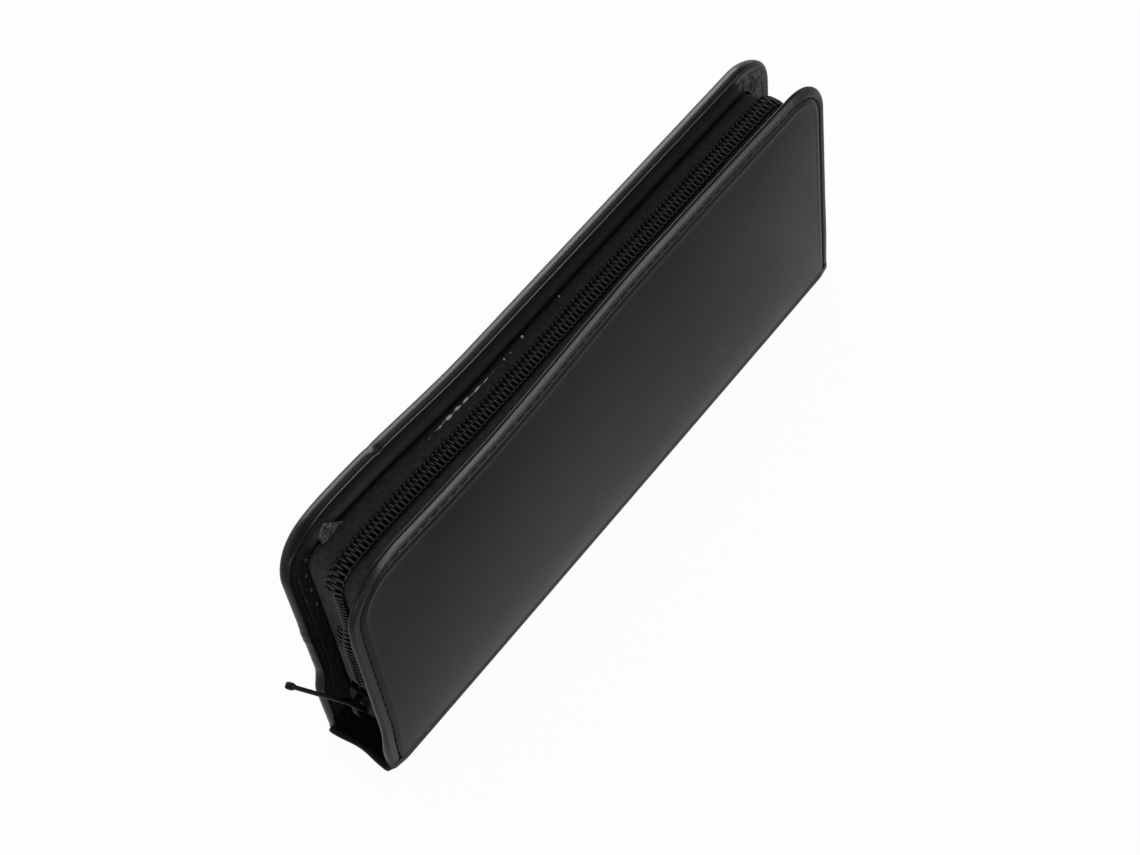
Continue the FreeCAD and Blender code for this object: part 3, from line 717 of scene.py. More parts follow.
def cover_skin(side):
    """A cover's leather: a profile carried round the three free sides, from the turned-in edge over the
    rolled rim and the seam's groove, then ruled from there to the fold line as the padded panel."""
    distance = np.linspace(0.0, edge_length(0.0, FOOT), SKIN_COUNT)
    base, normal, near_share, far_share = edge_path(0.0, FOOT, distance)
    seam = seam_inset(near_share, far_share)[:, None]
    edge_inset, edge_depth = rim_along(side, near_share, far_share, distance)
    level_inset, level_depth = edge_inset[:, -1:], edge_depth[:, -1:]
    flat = level_inset + (PANEL_START - level_inset) * np.linspace(0.0, 1.0, 41)[None, 1:]
    inset = np.concatenate([edge_inset, flat], axis=1)
    leave = smooth_step((flat - level_inset) / (PANEL_START - level_inset))
    depth = np.concatenate([edge_depth, level_depth * (1.0 - leave)], axis=1)
    outer = np.arange(inset.shape[1]) >= INSIDE
    uneven = 0.05 * MM * waves(distance, 0.0, SEED["rim"] + side, 38 * MM, 7)
    rolled = outer * np.sin(math.pi * np.clip(inset / (1.1 * level_inset), 0.0, 1.0))
    groove = outer * SEAM_DEPTH * bell(inset - seam, SEAM_WIDTH)
    # The inside has a faint seam, and pleats and creases round the corners
    inner_seam = INNER_SEAM_DEPTH * bell(inset - INNER_SEAM, SEAM_WIDTH)
    corners = bell(near_share - 0.5, 0.45) + bell(far_share - 0.5, 0.32)
    slant = distance[:, None] + 0.6 * inset * np.sin(distance / (6.0 * MM))[:, None]
    pleat = 1.0 - np.abs(np.sin(slant / (1.9 * MM) + 2.0 * np.sin(slant / (4.3 * MM))))
    wrinkle = np.abs(waves(distance[:, None], 1.5 * inset, SEED["wrinkles"] + side, 11 * MM, 5))
    crumple = PLEAT_DEPTH * pleat ** 2 + WRINKLE_DEPTH * np.clip(1.0 - 2.2 * wrinkle, 0.0, 1.0) ** 2
    reach = ease(inset, 1.2, 2.0) * ease(TURN_IN - inset, 0.0, 1.5)
    inner = ~outer * (corners[:, None] * crumple * reach - inner_seam)
    depth = depth + groove + uneven[:, None] * rolled + inner
    wear_and_painted_light = inset - edge_wear(side, distance)[:, None] * np.exp(-inset / (1.8 * MM))
    wear_and_painted_light = wear_and_painted_light + edge_draw(side, distance)[:, None] * np.exp(-inset / DRAW_REACH)
    flat_points = base[:, None] - normal[:, None] * wear_and_painted_light[..., None]
    # Its map holds the polished rim's share and the painted fill, a lighter tone against the trench's shade
    rim = np.where(outer, 1.0 - smooth_step((inset - seam) / (0.7 * MM) + 1.2),
                   (side == BACK) * (1.0 - ease(inset, 0.0, 1.2)))
    straight = (smooth_step((near_share - 0.6) / 0.4) * (1.0 - smooth_step(far_share / 0.4)))[:, None]
    deep_inside = straight * smooth_step(inset / (3.0 * MM) - 1.0)
    # Painted light: the inside is lightened against the shade in the trench, most deep in the straight run
    painted_fill = ~outer * smooth_step(inset / (2.0 * MM) - 0.3) * (0.2 + 0.8 * deep_inside)
    # The panel, ruled from the inner line of that strip to the fold line
    panel = ruled(flat_points[:, -1], np.linspace(0.0, 1.0, 30)[1:])
    depth = np.concatenate([depth, np.zeros(panel.shape[:2])], axis=1)
    past = np.concatenate([inset, inset_of(panel[..., 0], panel[..., 1])], axis=1) - seam
    flat_points = np.concatenate([flat_points, panel], axis=1)
    x, z = flat_points[..., 0], flat_points[..., 1]
    uneven = 0.05 * MM * waves(x, z, SEED["panel"] + side, 60 * MM, 5) * ease(past, 0.0, 5.0)
    lift = panel_lift(past, x, z) + uneven
    lift[:, :INSIDE] = 0.0
    depth = depth - lift * held(z)
    FOLD_LINE[side] = x[:, -1], -depth[:, -1]
    points = spread(x, side * (HALF_THICK - depth), z)
    uv = np.zeros(points.shape[:2] + (2,))
    uv[:, :len(outer)] = np.stack([rim, painted_fill], axis=-1)
    cover_piece(side, "cover_skin", [grid(points, flip=side == FRONT, uv=uv)], LEATHER, "leather")


def cover_stitches(side):
    """Stitches in the seam's groove: short spindles of thread, one after another along the seam."""
    total = edge_length(0.0, FOOT)
    count = int(total / STITCH_PITCH)
    middle = (np.arange(count) + 0.5) * total / count
    along = np.linspace(-1.0, 1.0, 9)
    radius = (THREAD / 2 * spindle(along, 3, 0.0004))[None, :, None]
    distance = middle[:, None] + along[None] * STITCH_LENGTH / 2
    base, normal, near_share, far_share = edge_path(0.0, FOOT, distance)
    seam = seam_inset(near_share, far_share)
    level_inset, level_depth = (part[..., -1] for part in rim_along(side, near_share, far_share, distance))
    depth = level_depth * (1.0 - smooth_step((seam - level_inset) / (PANEL_START - level_inset))) + SEAM_DEPTH
    depth = depth - 0.08 * MM + 0.12 * MM * along[None] ** 4
    angle = full_turn(8)
    seam = seam + edge_draw(side, distance) * np.exp(-seam / DRAW_REACH)
    away = (seam[..., None] + radius * np.cos(angle))[..., None]
    flat_points = base[:, :, None] - normal[:, :, None] * away
    y = side * (HALF_THICK - depth[..., None] + 0.5 * radius * np.sin(angle))
    points = spread(flat_points[..., 0], y, flat_points[..., 1])
    cover_piece(side, "seam_thread", [copies(points)], THREAD_FIBRE, "stitching")


def spine_fold(side):
    """Half of the spine's leather with its fold: a flat strip, a quarter turn and the start of the cover's
    face, carried along the case, rolled inwards at both ends."""
    y, z, turned = turned_up(HALF_THICK, 0.0, FOOT, (FOLD_ROUND, FOLD_ROUND), (12, 14, 3))
    end_x, end_depth = rim_section(ALONG_FOOT)
    middle_x = np.linspace(end_x[-1], 2.0 * HALF_LENGTH - end_x[-1], 180)[1:-1]
    x = np.concatenate([end_x, middle_x, 2.0 * HALF_LENGTH - end_x[::-1]]) - HALF_LENGTH
    depth = np.concatenate([end_depth, np.full(len(middle_x), end_depth[-1]), end_depth[::-1]])
    upright = smooth_step(z / FOOT)[:, None]
    swell = FOLD_SWELL * ease(HALF_LENGTH - np.abs(x), 0.0, 5.0)
    bulge = np.interp(x, *FOLD_LINE[side])[None] * upright
    bulge = bulge + swell[None] * np.sin(math.pi * np.clip(z / FOOT, 0.0, 1.0) ** 0.6)[:, None]
    flat_share = SPINE_TOP * 0.75 / COVER
    tight = flat_share + (1.0 - flat_share) * upright
    depth = np.maximum(depth, 0.0)
    round_off = FOOT_ROUND - np.sqrt(FOOT_ROUND ** 2 - np.clip(FOOT_ROUND - z, 0.0, FOOT_ROUND) ** 2)
    at_ends = np.sign(x) * smooth_step((np.abs(x) / HALF_LENGTH - 0.9) / 0.09)
    x = x[None] - round_off[:, None] * at_ends[None]
    # The near end reaches past the cover, less in the middle, where the pull hangs
    reach = NEAR_REACH * smooth_step((HALF_THICK - 0.2 * MM - y) / FOLD_ROUND)
    reach = reach * (1.0 - 0.5 * bell(y, 5.0 * MM))
    x = x - reach[:, None] * ease(-x - HALF_LENGTH, -9.0, 7.0)
    outside = 1.0 - ease(depth, 0.0, 0.5)
    inwards = depth[None] * tight
    points_y = side * (y[:, None] - np.sin(turned)[:, None] * inwards + bulge * outside[None])
    points = spread(x, points_y, z[:, None] + np.cos(turned)[:, None] * inwards)
    # Its lower edge is painted paler to offset the shade where it faces down, with the map's second share
    wear_and_painted_light = 0.45 * ease(z, 0.1, 0.6)
    uv = np.zeros(points.shape[:2] + (2,))
    uv[..., 1] = wear_and_painted_light[:, None] * outside[None]
    made = piece(COVER_NAME[side] + "_spine_fold", [grid(points, flip=side == FRONT, uv=uv)], LEATHER)
    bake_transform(made)
    return made


# The layers of the covers and the zip
def cover_slab(side, layer, outer, inner, surface):
    """A stiff layer inside a cover: two faces ruled from an inset line to the fold, joined by an edge."""
    distance = np.linspace(0.0, edge_length(SLAB_INSET, FOOT), SLAB_COUNT)
    base = edge_path(SLAB_INSET, FOOT, distance)[0]
    share = np.linspace(0.0, 1.0, 8)
    flat_points = ruled(base, np.concatenate([share[::-1], share]))
    depth = np.repeat([outer, inner], len(share))
    points = spread(flat_points[..., 0], side * (HALF_THICK - depth), flat_points[..., 1])
    cover_piece(side, layer + "_sheet", tubes(points), surface, layer)


def cover_lining(side):
    """The lining: a cloth sheet ruled from the zip tape's line to the fold, a little slack."""
    inset = TURN_IN + 0.6 * MM
    distance = np.linspace(0.0, edge_length(inset, FOOT), LINING_COUNT)
    flat_points = ruled(edge_path(inset, FOOT, distance)[0], np.linspace(0.0, 1.0, 40))
    x, z = flat_points[..., 0], flat_points[..., 1]
    away = np.minimum(inset_of(x, z) - inset, z - FOOT)
    slack = CLOTH_SLACK * waves(x, z, SEED["lining"] + side, 45 * MM, 6) * ease(away, 0, 6)
    y = side * (INNER_FACE + 0.02 * MM - slack + 0.25 * MM * (1.0 - ease(away, 0.0, 0.8)))
    made = cover_piece(side, "lining_cloth", [grid(spread(x, y, z), flip=side == BACK, uv=flat_points)],
                       LINING_CLOTH, "lining")


def zip_tape(side):
    """Half of the zip tape: a strip that leaves the cover in a small bend and crosses to the chain,
    carried round the three sides, with both ends turned aside."""
    distance = np.linspace(0.0, edge_length(TAPE_INSET, TAPE_FOOT), TAPE_COUNT)
    base, normal, _, _ = edge_path(TAPE_INSET, TAPE_FOOT, distance)
    across = np.linspace(0.0, 1.0, 13)[1:]
    bend = np.array([0.02, 0.03, 0.10, 0.28, 0.62, 1.05]) * MM
    drop = np.concatenate([[2.6, 1.6, 0.9, 0.45, 0.16, 0.03], np.zeros(len(across))]) * MM
    tail = ease(TAPE_FOOT - base[:, 1], -7.0, 7.0)
    edge = TAPE_EDGE + (INNER_FACE - 1.4 * MM - TAPE_EDGE) * tail
    start = INNER_FACE - bend[-1]
    web = start + (edge - start)[:, None] * across[None]
    y = np.concatenate([np.broadcast_to(INNER_FACE - bend, (TAPE_COUNT, len(bend))), web], axis=1)
    share = np.concatenate([np.zeros(len(bend)), across])
    slack = TAPE_SAG * (1.0 + 0.6 * np.sin(distance / (9.0 * MM) + side))
    ripple = TAPE_RIPPLE * np.sin(distance / (3.1 * MM) + 0.7 * side)
    sag = (slack + ripple)[:, None] * np.sin(math.pi * share)[None]
    flat_points = base[:, None] - normal[:, None] * (drop[None] + sag)[..., None]
    x, z = flat_points[..., 0], flat_points[..., 1]
    points = spread(x - near_lift(x, z) * smooth_step(share / 0.8), side * y, z)
    steps = np.linalg.norm(np.diff(points, axis=1), axis=-1)
    width = np.concatenate([np.zeros((TAPE_COUNT, 1)), np.cumsum(steps, axis=1)], axis=1)
    uv = spread(distance[:, None], width, 0.0)[..., :2]
    made = cover_piece(side, "tape_cloth", [grid(points, flip=side == BACK, uv=uv)], TAPE_CLOTH, "zip_tape",
                       on_tape=True)
    thicken(made, TAPE_THICK, -1.0)


def coil_run(side, part, start, stop, foot):
    """One row of the zip's coil: a wire wound in flat loops, up at the head, back over the top, down at the
    tape's side and forward one pitch there, carried along the tape's line."""
    turns = int(round((stop - start) / COIL_PITCH))
    turn = np.arange(turns * TURN_STEPS + 1) / TURN_STEPS
    phase = turn % 1.0
    angle = 2.0 * math.pi * phase
    # The loop is a superellipse, lower towards the tape's side
    side_place = COIL_OUT - COIL_WIRE / 2
    y = (side_place - COIL_HEAD) / 2 + (side_place + COIL_HEAD) / 2 * power(np.cos(angle), 0.55)
    half_rise = (0.82 * COIL_HEIGHT - COIL_WIRE) / 2
    dip = 1.0 - 0.45 * ease(y, 0.9, 1.0)
    rise = half_rise + COIL_WIRE / 2 + half_rise * dip * power(np.sin(angle), 0.7)
    forward = smooth_step((phase - 0.8) / 0.2)
    distance = start + (np.floor(turn) + forward + ROW_SHARE[side]) * (stop - start) / turns
    base, normal, _, _ = edge_path(TAPE_INSET, foot, distance)
    flat_points = base + normal * (rise + COIL_CLEAR)[:, None]
    path = spread(flat_points[:, 0] - near_lift(base[:, 0], base[:, 1]), side * y, flat_points[:, 1])
    heading = spread(normal[:, 1], 0.0, -normal[:, 0])
    wire = tube(path, COIL_WIRE / 2, 7, heading)
    cover_piece(side, "coil_wire_" + part, tubes(wire), NYLON, "coil_" + part, on_tape=True)


def coil_rows(side):
    """The three runs of a row: up the near end, over the zip edge and down the far end."""
    foot = float(SLIDER_HIGH[2])
    leg = HEIGHT - CORNER - foot
    over = leg + math.pi * (CORNER - TAPE_INSET) + 2.0 * (HALF_LENGTH - CORNER)
    coil_run(side, "near", -0.6 * MM, leg, foot)
    coil_run(side, "top", leg, over, foot)
    coil_run(side, "far", over, over + HEIGHT - CORNER - FAR_ROW_FOOT, foot)


for cover_side in (FRONT, BACK):
    cover_skin(cover_side)
    cover_stitches(cover_side)
    cover_slab(cover_side, "padding", 0.72 * MM, 1.1 * MM, FOAM)
    cover_slab(cover_side, "board", 1.12 * MM, 1.88 * MM, BOARD_FIBRE)
    cover_lining(cover_side)
    zip_tape(cover_side)
    coil_rows(cover_side)


# The inside
def hinge_ends(side):
    """The leather turned in over both ends of a hinge: short strips from the spine's roll, round the bend
    and up the cover's inner face."""
    low = 0.75 * SPINE_TOP + 0.06 * MM
    wall = INNER_FACE - 0.06 * MM
    bend = 0.9 * MM
    y, z, _ = turned_up(wall, low, low + 4.0 * MM, (bend, bend), (8, 10, 6))
    first, last = HALF_LENGTH - TURN_IN - 1.0 * MM, HALF_LENGTH - 0.5 * MM
    grids = [grid(spread(x, side * y[:, None], z[:, None]), flip=side == BACK)
             for x in (np.linspace(-last, -first, 9), np.linspace(first, last, 9))]
    made = piece(COVER_NAME[side] + "_hinge_end_leather", grids, LEATHER)
    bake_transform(made)


def hinge_lining(side):
    """Half of the spine's lining: a cloth strip over the spine, turned up along the cover's inner face."""
    low = SPINE_TOP + 0.1 * MM
    flat = 10
    y, z, _ = turned_up(SPINE_HALF + 0.1 * MM, low, SPINE_TOP + 4.5 * MM, (1.0 * MM, 1.1 * MM), (flat, 8, 5))
    flat_y = y[:flat]
    end = HALF_LENGTH - TURN_IN + 0.6 * MM
    x = np.linspace(-end, end, 120)
    wave = 0.06 * MM * np.sin(x / (7.0 * MM) + side)
    points = spread(x, side * y[:, None], z[:, None] + wave[None] * smooth_step(y / flat_y[-1])[:, None])
    steps = np.concatenate([[0.0], np.cumsum(np.hypot(np.diff(y), np.diff(z)))])
    uv = spread(x, steps[:, None], 0.0)[..., :2]
    made = piece(COVER_NAME[side] + "_hinge_lining", [grid(points, flip=side == BACK, uv=uv)], LINING_CLOTH)
    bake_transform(made)
    return made


BAND_THICK = 0.9 * MM
BAND_FOOT = 1.2 * MM        # sewn down at both ends
LOOP_COUNT = 3
LOOP_PITCH = 17.4 * MM
LOOP_WIDTH = 15.8 * MM
TACK_HALF = 6.6 * MM        # half of a row of tack stitches
TACK_COUNT = 11
TACK_RADIUS = 0.22 * MM


def band_line():
    """The line of a pen band up the back cover: flat where it is sewn down, and three arches between."""
    low, high = np.array(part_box("pen_band_near"))
    middle = (low[2] + high[2]) / 2
    rise_full = INNER_FACE - BAND_THICK - float(low[1])
    turn = np.linspace(0.0, math.pi, 41)
    lines = [np.array([[low[2], 0.0], [low[2] + BAND_FOOT, 0.0]])]
    for index in range(LOOP_COUNT):
        centre = middle + (index - 1) * LOOP_PITCH
        z = centre - LOOP_WIDTH / 2 * power(np.cos(turn), 0.85)
        lines.append(np.stack([z, 0.85 * rise_full * np.abs(np.sin(turn)) ** 0.62], axis=-1))
    lines.append(np.array([[high[2] - BAND_FOOT, 0.0], [high[2], 0.0]]))
    return np.concatenate(lines)


def pen_band(node):
    """A ribbed elastic band: its line carried across its width, a little narrower over the arches."""
    low, high = np.array(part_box(node))
    line = band_line()
    steps = np.concatenate([[0.0], np.cumsum(np.linalg.norm(np.diff(line, axis=0), axis=1))])
    across = np.linspace(-1.0, 1.0, 13)
    half = (high[0] - low[0]) / 2 * (1.0 - 0.035 * line[:, 1] / line[:, 1].max())
    x = (low[0] + high[0]) / 2 + half[:, None] * across[None]
    curl = 0.25 * MM * across ** 6
    y = INNER_FACE - 0.02 * MM - line[:, 1:] * (1.0 - 0.02 * across[None] ** 4) - curl[None]
    uv = spread(across * half.max(), steps[:, None], 0.0)[..., :2]
    made = piece(node + "_elastic", [grid(spread(x, y, line[:, :1]), uv=uv)], ELASTIC, "back_cover", [node])
    thicken(made, BAND_THICK, 1.0)


def band_tacks():
    """Bar tacks that hold the bands: rows of short stitches across each sewn-down place."""
    low, high = np.array(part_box("pen_band_near"))
    middle = (low[2] + high[2]) / 2
    half_pitch = LOOP_PITCH / 2
    heights = [low[2] + BAND_FOOT, middle - half_pitch, middle + half_pitch, high[2] - BAND_FOOT]
    offsets = np.linspace(-TACK_HALF, TACK_HALF, TACK_COUNT)
    starts = []
    for node in ("pen_band_near", "pen_band_far"):
        centre = (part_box(node)[0][0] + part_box(node)[1][0]) / 2
        starts += [np.stack([centre + offsets, np.full(TACK_COUNT, height)], axis=-1) for height in heights]
    starts = np.concatenate(starts)[:, :, None, None]
    along = np.linspace(-1.0, 1.0, 7)[:, None]
    radius = TACK_RADIUS * spindle(along, 3, 0.001)
    angle = full_turn(6)
    z = starts[:, 1] + 0.18 * MM * along + radius * np.cos(angle)
    y = INNER_FACE - BAND_THICK - (0.18 * MM * (1.0 - along ** 2) + radius * np.sin(angle))
    points = spread(starts[:, 0] + 0.55 * MM * along, y, z)
    piece("pen_band_bar_tacks", [copies(points)], THREAD_FIBRE, "back_cover", ["pen_band_tacks"])


def slip_pocket():
    """The slip pocket: a cloth sheet laid on the front lining that bulges a little towards its mouth."""
    low, high = np.array(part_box("front_pocket"))
    x = np.linspace(low[0], high[0], 130)[:, None]
    z = np.linspace(low[2], high[2], 44)
    share_x = x / high[0]
    share_z = (z - low[2]) / (high[2] - low[2])
    bulge = (1.0 - share_x ** 6) * share_z ** 0.7 * 0.35 * MM
    slack = CLOTH_SLACK * waves(x, z, SEED["pocket"], 34 * MM, 5)
    edge = smooth_step((1.0 - np.abs(share_x)) / 0.04) * smooth_step(share_z / 0.1)
    points = spread(x, -INNER_FACE + 0.22 * MM + (bulge + slack) * edge, z)
    made = piece("front_slip_pocket", [grid(points, flip=True, uv=points[..., [0, 2]])], LINING_CLOTH,
                 "front_cover", ["front_pocket"])
    # The bound mouth: a ribbon folded over the pocket's upper edge
    hem_low, hem_high = np.array(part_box("front_pocket_hem"))
    turn = np.linspace(0.0, math.pi, 9)
    fold_z = np.concatenate([[hem_low[2], hem_low[2] + 0.4 * MM],
                             hem_high[2] - 0.5 * MM + 0.5 * MM * np.sin(turn), [hem_low[2]]])
    fold_y = np.concatenate([[0.42, 0.85], 0.55 + 0.4 * np.cos(turn), [0.12]]) * MM
    points = spread(x, -INNER_FACE + fold_y + bulge[:, -1:] * edge[:, -1:], fold_z)
    piece("front_pocket_ribbon", [grid(points, flip=True, uv=points[..., [0, 2]])], RIBBON, "front_cover",
          ["front_pocket_hem"])


# Dried glue
BEAD_X = np.linspace(-43.5 * MM, -17.0 * MM, 240)
BEAD_Y = 5.45 * MM
# Place along and across, and size, in millimetres
SPECKS = ((-15.7, 5.6, 0.26), (-8.9, 6.1, 0.36), (-13.6, 5.5, 0.14), (4.2, 6.2, 0.22))
FILM_TOP = np.array([[-72.6, 6.95, 64.9], [-70.2, 6.95, 66.9]]) * MM
FILM_LOW = np.array([[-73.0, 5.3, 63.9], [-66.0, 5.5, 63.8]]) * MM
FILM_WAY = np.array([0.0, -0.7, 0.7])           # the way that its folds stand out
FILM_FOLD = 0.55 * MM
FILM_THICK = 0.08 * MM
FLECK_INSET = 6.9 * MM
FLECK_PLACES = np.array([43.9, 49.4, 54.9, 59.7]) * MM
FLECK_WAY = np.array([0.9, 0.0, -0.44])


def dried_glue():
    """Glue that was squeezed out where the back tape meets the leather: a flattened bead whose width comes
    and goes, a few specks further along, a few flecks up the near end, and a crumpled film ruled between
    four points at the corner."""
    wander = 0.22 * MM * waves(BEAD_X, 0.0, SEED["bead"], 6 * MM, 4)
    line = spread(BEAD_X, BEAD_Y + wander, TAPE_OUT - 0.02 * MM)
    lump = np.clip(0.4 + 1.2 * waves(BEAD_X, 0.0, SEED["lumps"], 3.0 * MM, 6), 0.0, 1.2)
    thick = 0.06 + 0.94 * ease(BEAD_X, -38.5, 2.5) * ease(-BEAD_X, 19.0, 9.0)
    half = (0.05 + 0.30 * lump) * thick * rounded_ends(np.linspace(0.0, 1.0, len(BEAD_X)), 0.02) * MM
    lumps = [swept(line, ACROSS, UP, half, 0.6 * half, 10, 0.9)]
    along = np.linspace(-1.0, 1.0, 9)
    oval = spindle(along, 2, 1e-4)
    for speck_x, speck_y, size in SPECKS:
        path = spread(speck_x + size * along, speck_y + 0.3 * size * along, TAPE_OUT / MM) * MM
        wide = size * oval * MM
        lumps.append(swept(path, ACROSS, UP, wide, 0.55 * wide, 10, 0.9))
    piece("dried_glue_bead", tubes(*lumps), DRIED_GLUE, "back_cover")
    flecks = []
    wide = 0.16 * MM * oval
    for fleck_x, fleck_z in edge_path(FLECK_INSET, FOOT, FLECK_PLACES)[0]:
        path = spread(fleck_x + 0.25 * MM * along, INNER_FACE - 0.12 * MM, fleck_z + 0.5 * MM * along)
        flecks.append(swept(path, ACROSS, FLECK_WAY, wide, 1.6 * wide, 8, 0.9))
    piece("dried_glue_flecks", tubes(*flecks), GLUE_FILM, "back_cover")
    across, down = np.meshgrid(np.linspace(0.0, 1.0, 34), np.linspace(0.0, 1.0, 30), indexing="ij")
    top, low = (first + (last - first) * across[..., None] for first, last in (FILM_TOP, FILM_LOW))
    sheet = top + (low - top) * down[..., None]
    aslant = 1.4 * sheet[..., 2] + sheet[..., 1]
    fold = np.abs(waves(sheet[..., 0], aslant, SEED["film"], 3.2 * MM, 6))
    free = smooth_step(np.minimum(down, 1.0 - down) / 0.12)
    sheet = sheet + FILM_WAY * (FILM_FOLD * fold * free)[..., None]
    film = piece("dried_glue_film", [grid(sheet)], GLUE_FILM, "back_cover")
    thicken(film, FILM_THICK, 0.0)


# The slider and its pull
PULL_PIVOT = np.array([-81.6, 0.0, 15.5]) * MM
PULL_RISE = math.radians(65.3)      # from level
PULL_TWIST = math.radians(-16.8)    # the tab hangs slightly turned on its ring
PULL_REACH = 35.0 * MM
PULL_WAY = np.array([-math.cos(PULL_RISE), 0.0, math.sin(PULL_RISE)])
PULL_FACE = np.array([math.sin(PULL_RISE), 0.0, math.cos(PULL_RISE)])
RING_WIRE = 0.9 * MM
RING_MIDDLE = 2.45 * MM     # from the pivot
RING_HALF = (1.95 * MM, 2.6 * MM)
TAB_START = 4.0 * MM
POST_HALF = (0.95 * MM, 1.5 * MM)
SLIDER_PLATE = 1.0 * MM
MOUTH_HALF = 4.2            # millimetres, half the slider's width at its mouth
TAIL_LESS = 0.5             # and how much less at its tail
FLANGE_HALF = (0.9 * MM, 0.3 * MM)
STRAP_THICK = 0.7 * MM


def pull():
    """The pull: a wire ring round the bridge, and a slim bar with a beaded tip."""
    angle = full_turn(48)
    y = RING_HALF[0] * power(np.cos(angle), 0.6)
    along = RING_MIDDLE + RING_HALF[1] * power(np.sin(angle), 0.6)
    path = PULL_PIVOT + along[:, None] * PULL_WAY + y[:, None] * ACROSS
    tangent = unit(np.roll(path, -1, axis=0) - np.roll(path, 1, axis=0))
    ring = swept(path, np.cross(tangent, PULL_FACE), PULL_FACE, RING_WIRE / 2, RING_WIRE / 2, 10, 1.0)
    reach = np.linspace(TAB_START, PULL_REACH, 90)
    share = (reach - reach[0]) / (reach[-1] - reach[0])
    close = rounded_ends(share, 0.03)
    half_wide = (2.2 - 0.9 * smooth_step(share / 0.12) - 0.3 * share) * MM * close
    bead = bell(reach - PULL_REACH + 1.0 * MM, 0.8 * MM)
    half_thick = (0.50 + 0.32 * bead) * MM * close
    twist = PULL_TWIST * ease(reach, 3.5, 5.0)[:, None]
    wide = np.cos(twist) * ACROSS + np.sin(twist) * PULL_FACE
    face = np.cos(twist) * PULL_FACE - np.sin(twist) * ACROSS
    tab = swept(PULL_PIVOT + reach[:, None] * PULL_WAY, wide, face, half_wide, half_thick, 20, 0.5)
    piece("pull_tab_and_ring", [grid(ring, True, True)] + tubes(tab), BLACK_PAINT, "pull", ["zip_pull"])


def plate_half_width(z):
    """Half the slider's width: wide at its mouth, below, and narrower at its tail."""
    share = (z - SLIDER_LOW[2]) / (SLIDER_HIGH[2] - SLIDER_LOW[2])
    return (MOUTH_HALF - TAIL_LESS * share) * MM


def slider_plate(x_outer, x_inner):
    """A plate with rounded edges: a tapered superellipse outline, shrunk towards the middle of both faces."""
    angle = full_turn(56)
    shrink = np.array([0.02, 0.5, 0.82, 0.91, 0.97, 1.0, 1.0, 0.97, 0.91, 0.82, 0.5, 0.02])[:, None]
    deep = np.array([0.0, 0.0, 0.03, 0.09, 0.2, 0.38, 0.62, 0.8, 0.91, 0.97, 1.0, 1.0])[:, None]
    half = (SLIDER_HIGH[2] - SLIDER_LOW[2]) / 2
    z = (SLIDER_HIGH[2] + SLIDER_LOW[2]) / 2 + half * shrink * power(np.sin(angle), 0.55)
    y = plate_half_width(z) * shrink * power(np.cos(angle), 0.55)
    return spread(x_outer + (x_inner - x_outer) * deep, y, z)


def slider():
    """The slider: two plates, rounded flanges between them at both sides, and the post at its mouth."""
    outer, inner = float(SLIDER_LOW[0]), float(SLIDER_HIGH[0])
    forms = [slider_plate(outer, outer + SLIDER_PLATE), slider_plate(inner - SLIDER_PLATE, inner)]
    z = np.linspace(SLIDER_LOW[2] + 0.9 * MM, SLIDER_HIGH[2] - 0.5 * MM, 20)
    close = rounded_ends(np.linspace(0.0, 1.0, len(z)), 0.12)
    for side in (FRONT, BACK):
        line = spread(outer + 1.55 * MM, side * (plate_half_width(z) - 0.5 * MM), z)
        forms.append(swept(line, ALONG, ACROSS, FLANGE_HALF[0] * close, FLANGE_HALF[1] * close, 12, 0.5))
    post = spread(np.linspace(outer + 0.5 * MM, inner - 0.5 * MM, 6), 0.0, SLIDER_LOW[2] + 1.9 * MM)
    forms.append(swept(post, ACROSS, UP, *POST_HALF, 16, 0.9))
    piece("slider_shell", tubes(*forms), BLACK_PAINT, "slider", ["slider_body"])


def bridge():
    """The slider's bridge: a flat strap that arches over the ring of the pull."""
    low, high = np.array(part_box("slider_bridge"))
    turn = np.linspace(0.0, math.pi, 40)
    half = (high[2] - low[2]) / 2 - 0.3 * MM
    sunk = 0.15 * MM
    foot = float(SLIDER_LOW[0])
    reach = foot - float(low[0]) - STRAP_THICK / 2
    x = foot + sunk - (reach + sunk) * np.abs(np.sin(turn)) ** 0.5
    z = (high[2] + low[2]) / 2 - half * power(np.cos(turn), 0.8)
    path = spread(x, 0.0, z)
    way = np.cross(unit(np.gradient(path, axis=0)), ACROSS)
    strap = swept(path, ACROSS, way, (high[1] - low[1]) / 2, STRAP_THICK / 2, 14, 0.5)
    piece("slider_strap", tubes(strap), BLACK_PAINT, "slider", ["slider_bridge"])


hinge_linings = [hinge_lining(FRONT), hinge_lining(BACK)]
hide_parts("spine_lining")
pen_band("pen_band_near")
pen_band("pen_band_far")
band_tacks()
slip_pocket()
dried_glue()
slider()
bridge()
pull()
front_fold = spine_fold(FRONT)
spine_fold(BACK)
hinge_ends(FRONT)
hinge_ends(BACK)
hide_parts("spine_leather")

# The one node whose solid stays gets its finish
board_finishes = frame["nodes"]["spine_board"].data.materials
board_finishes.clear()
board_finishes.append(BOARD_FIBRE)

# Floor, light and camera
FLOOR_HALF = 3.0
FLOOR_DROP = 0.2 * MM
FLOOR_TONE = 0.74
FLOOR_SEEN = 0.96           # the share of plain white that the camera sees
MIRRORED = (0.22, 0.8, 0.02)                    # how bright its painted reflection glows: near the case, beside it, least
MIRROR_REACH = (26.0 * MM, 9.0 * MM)            # how soon the first two fade
HORIZON_LIGHT = 1.3
OVERHEAD_LIGHT = 0.35
CAMERA_PLACE = np.array([-214.45, -206.16, 449.44]) * MM
CAMERA_RIGHT = np.array([0.60719841, -0.79003549, -0.08458139])
CAMERA_DOWN = np.array([-0.68119204, -0.46281378, -0.56725726])
CAMERA_LENS = 71.92         # millimetres
CAMERA_FRAME = 36.0         # millimetres wide


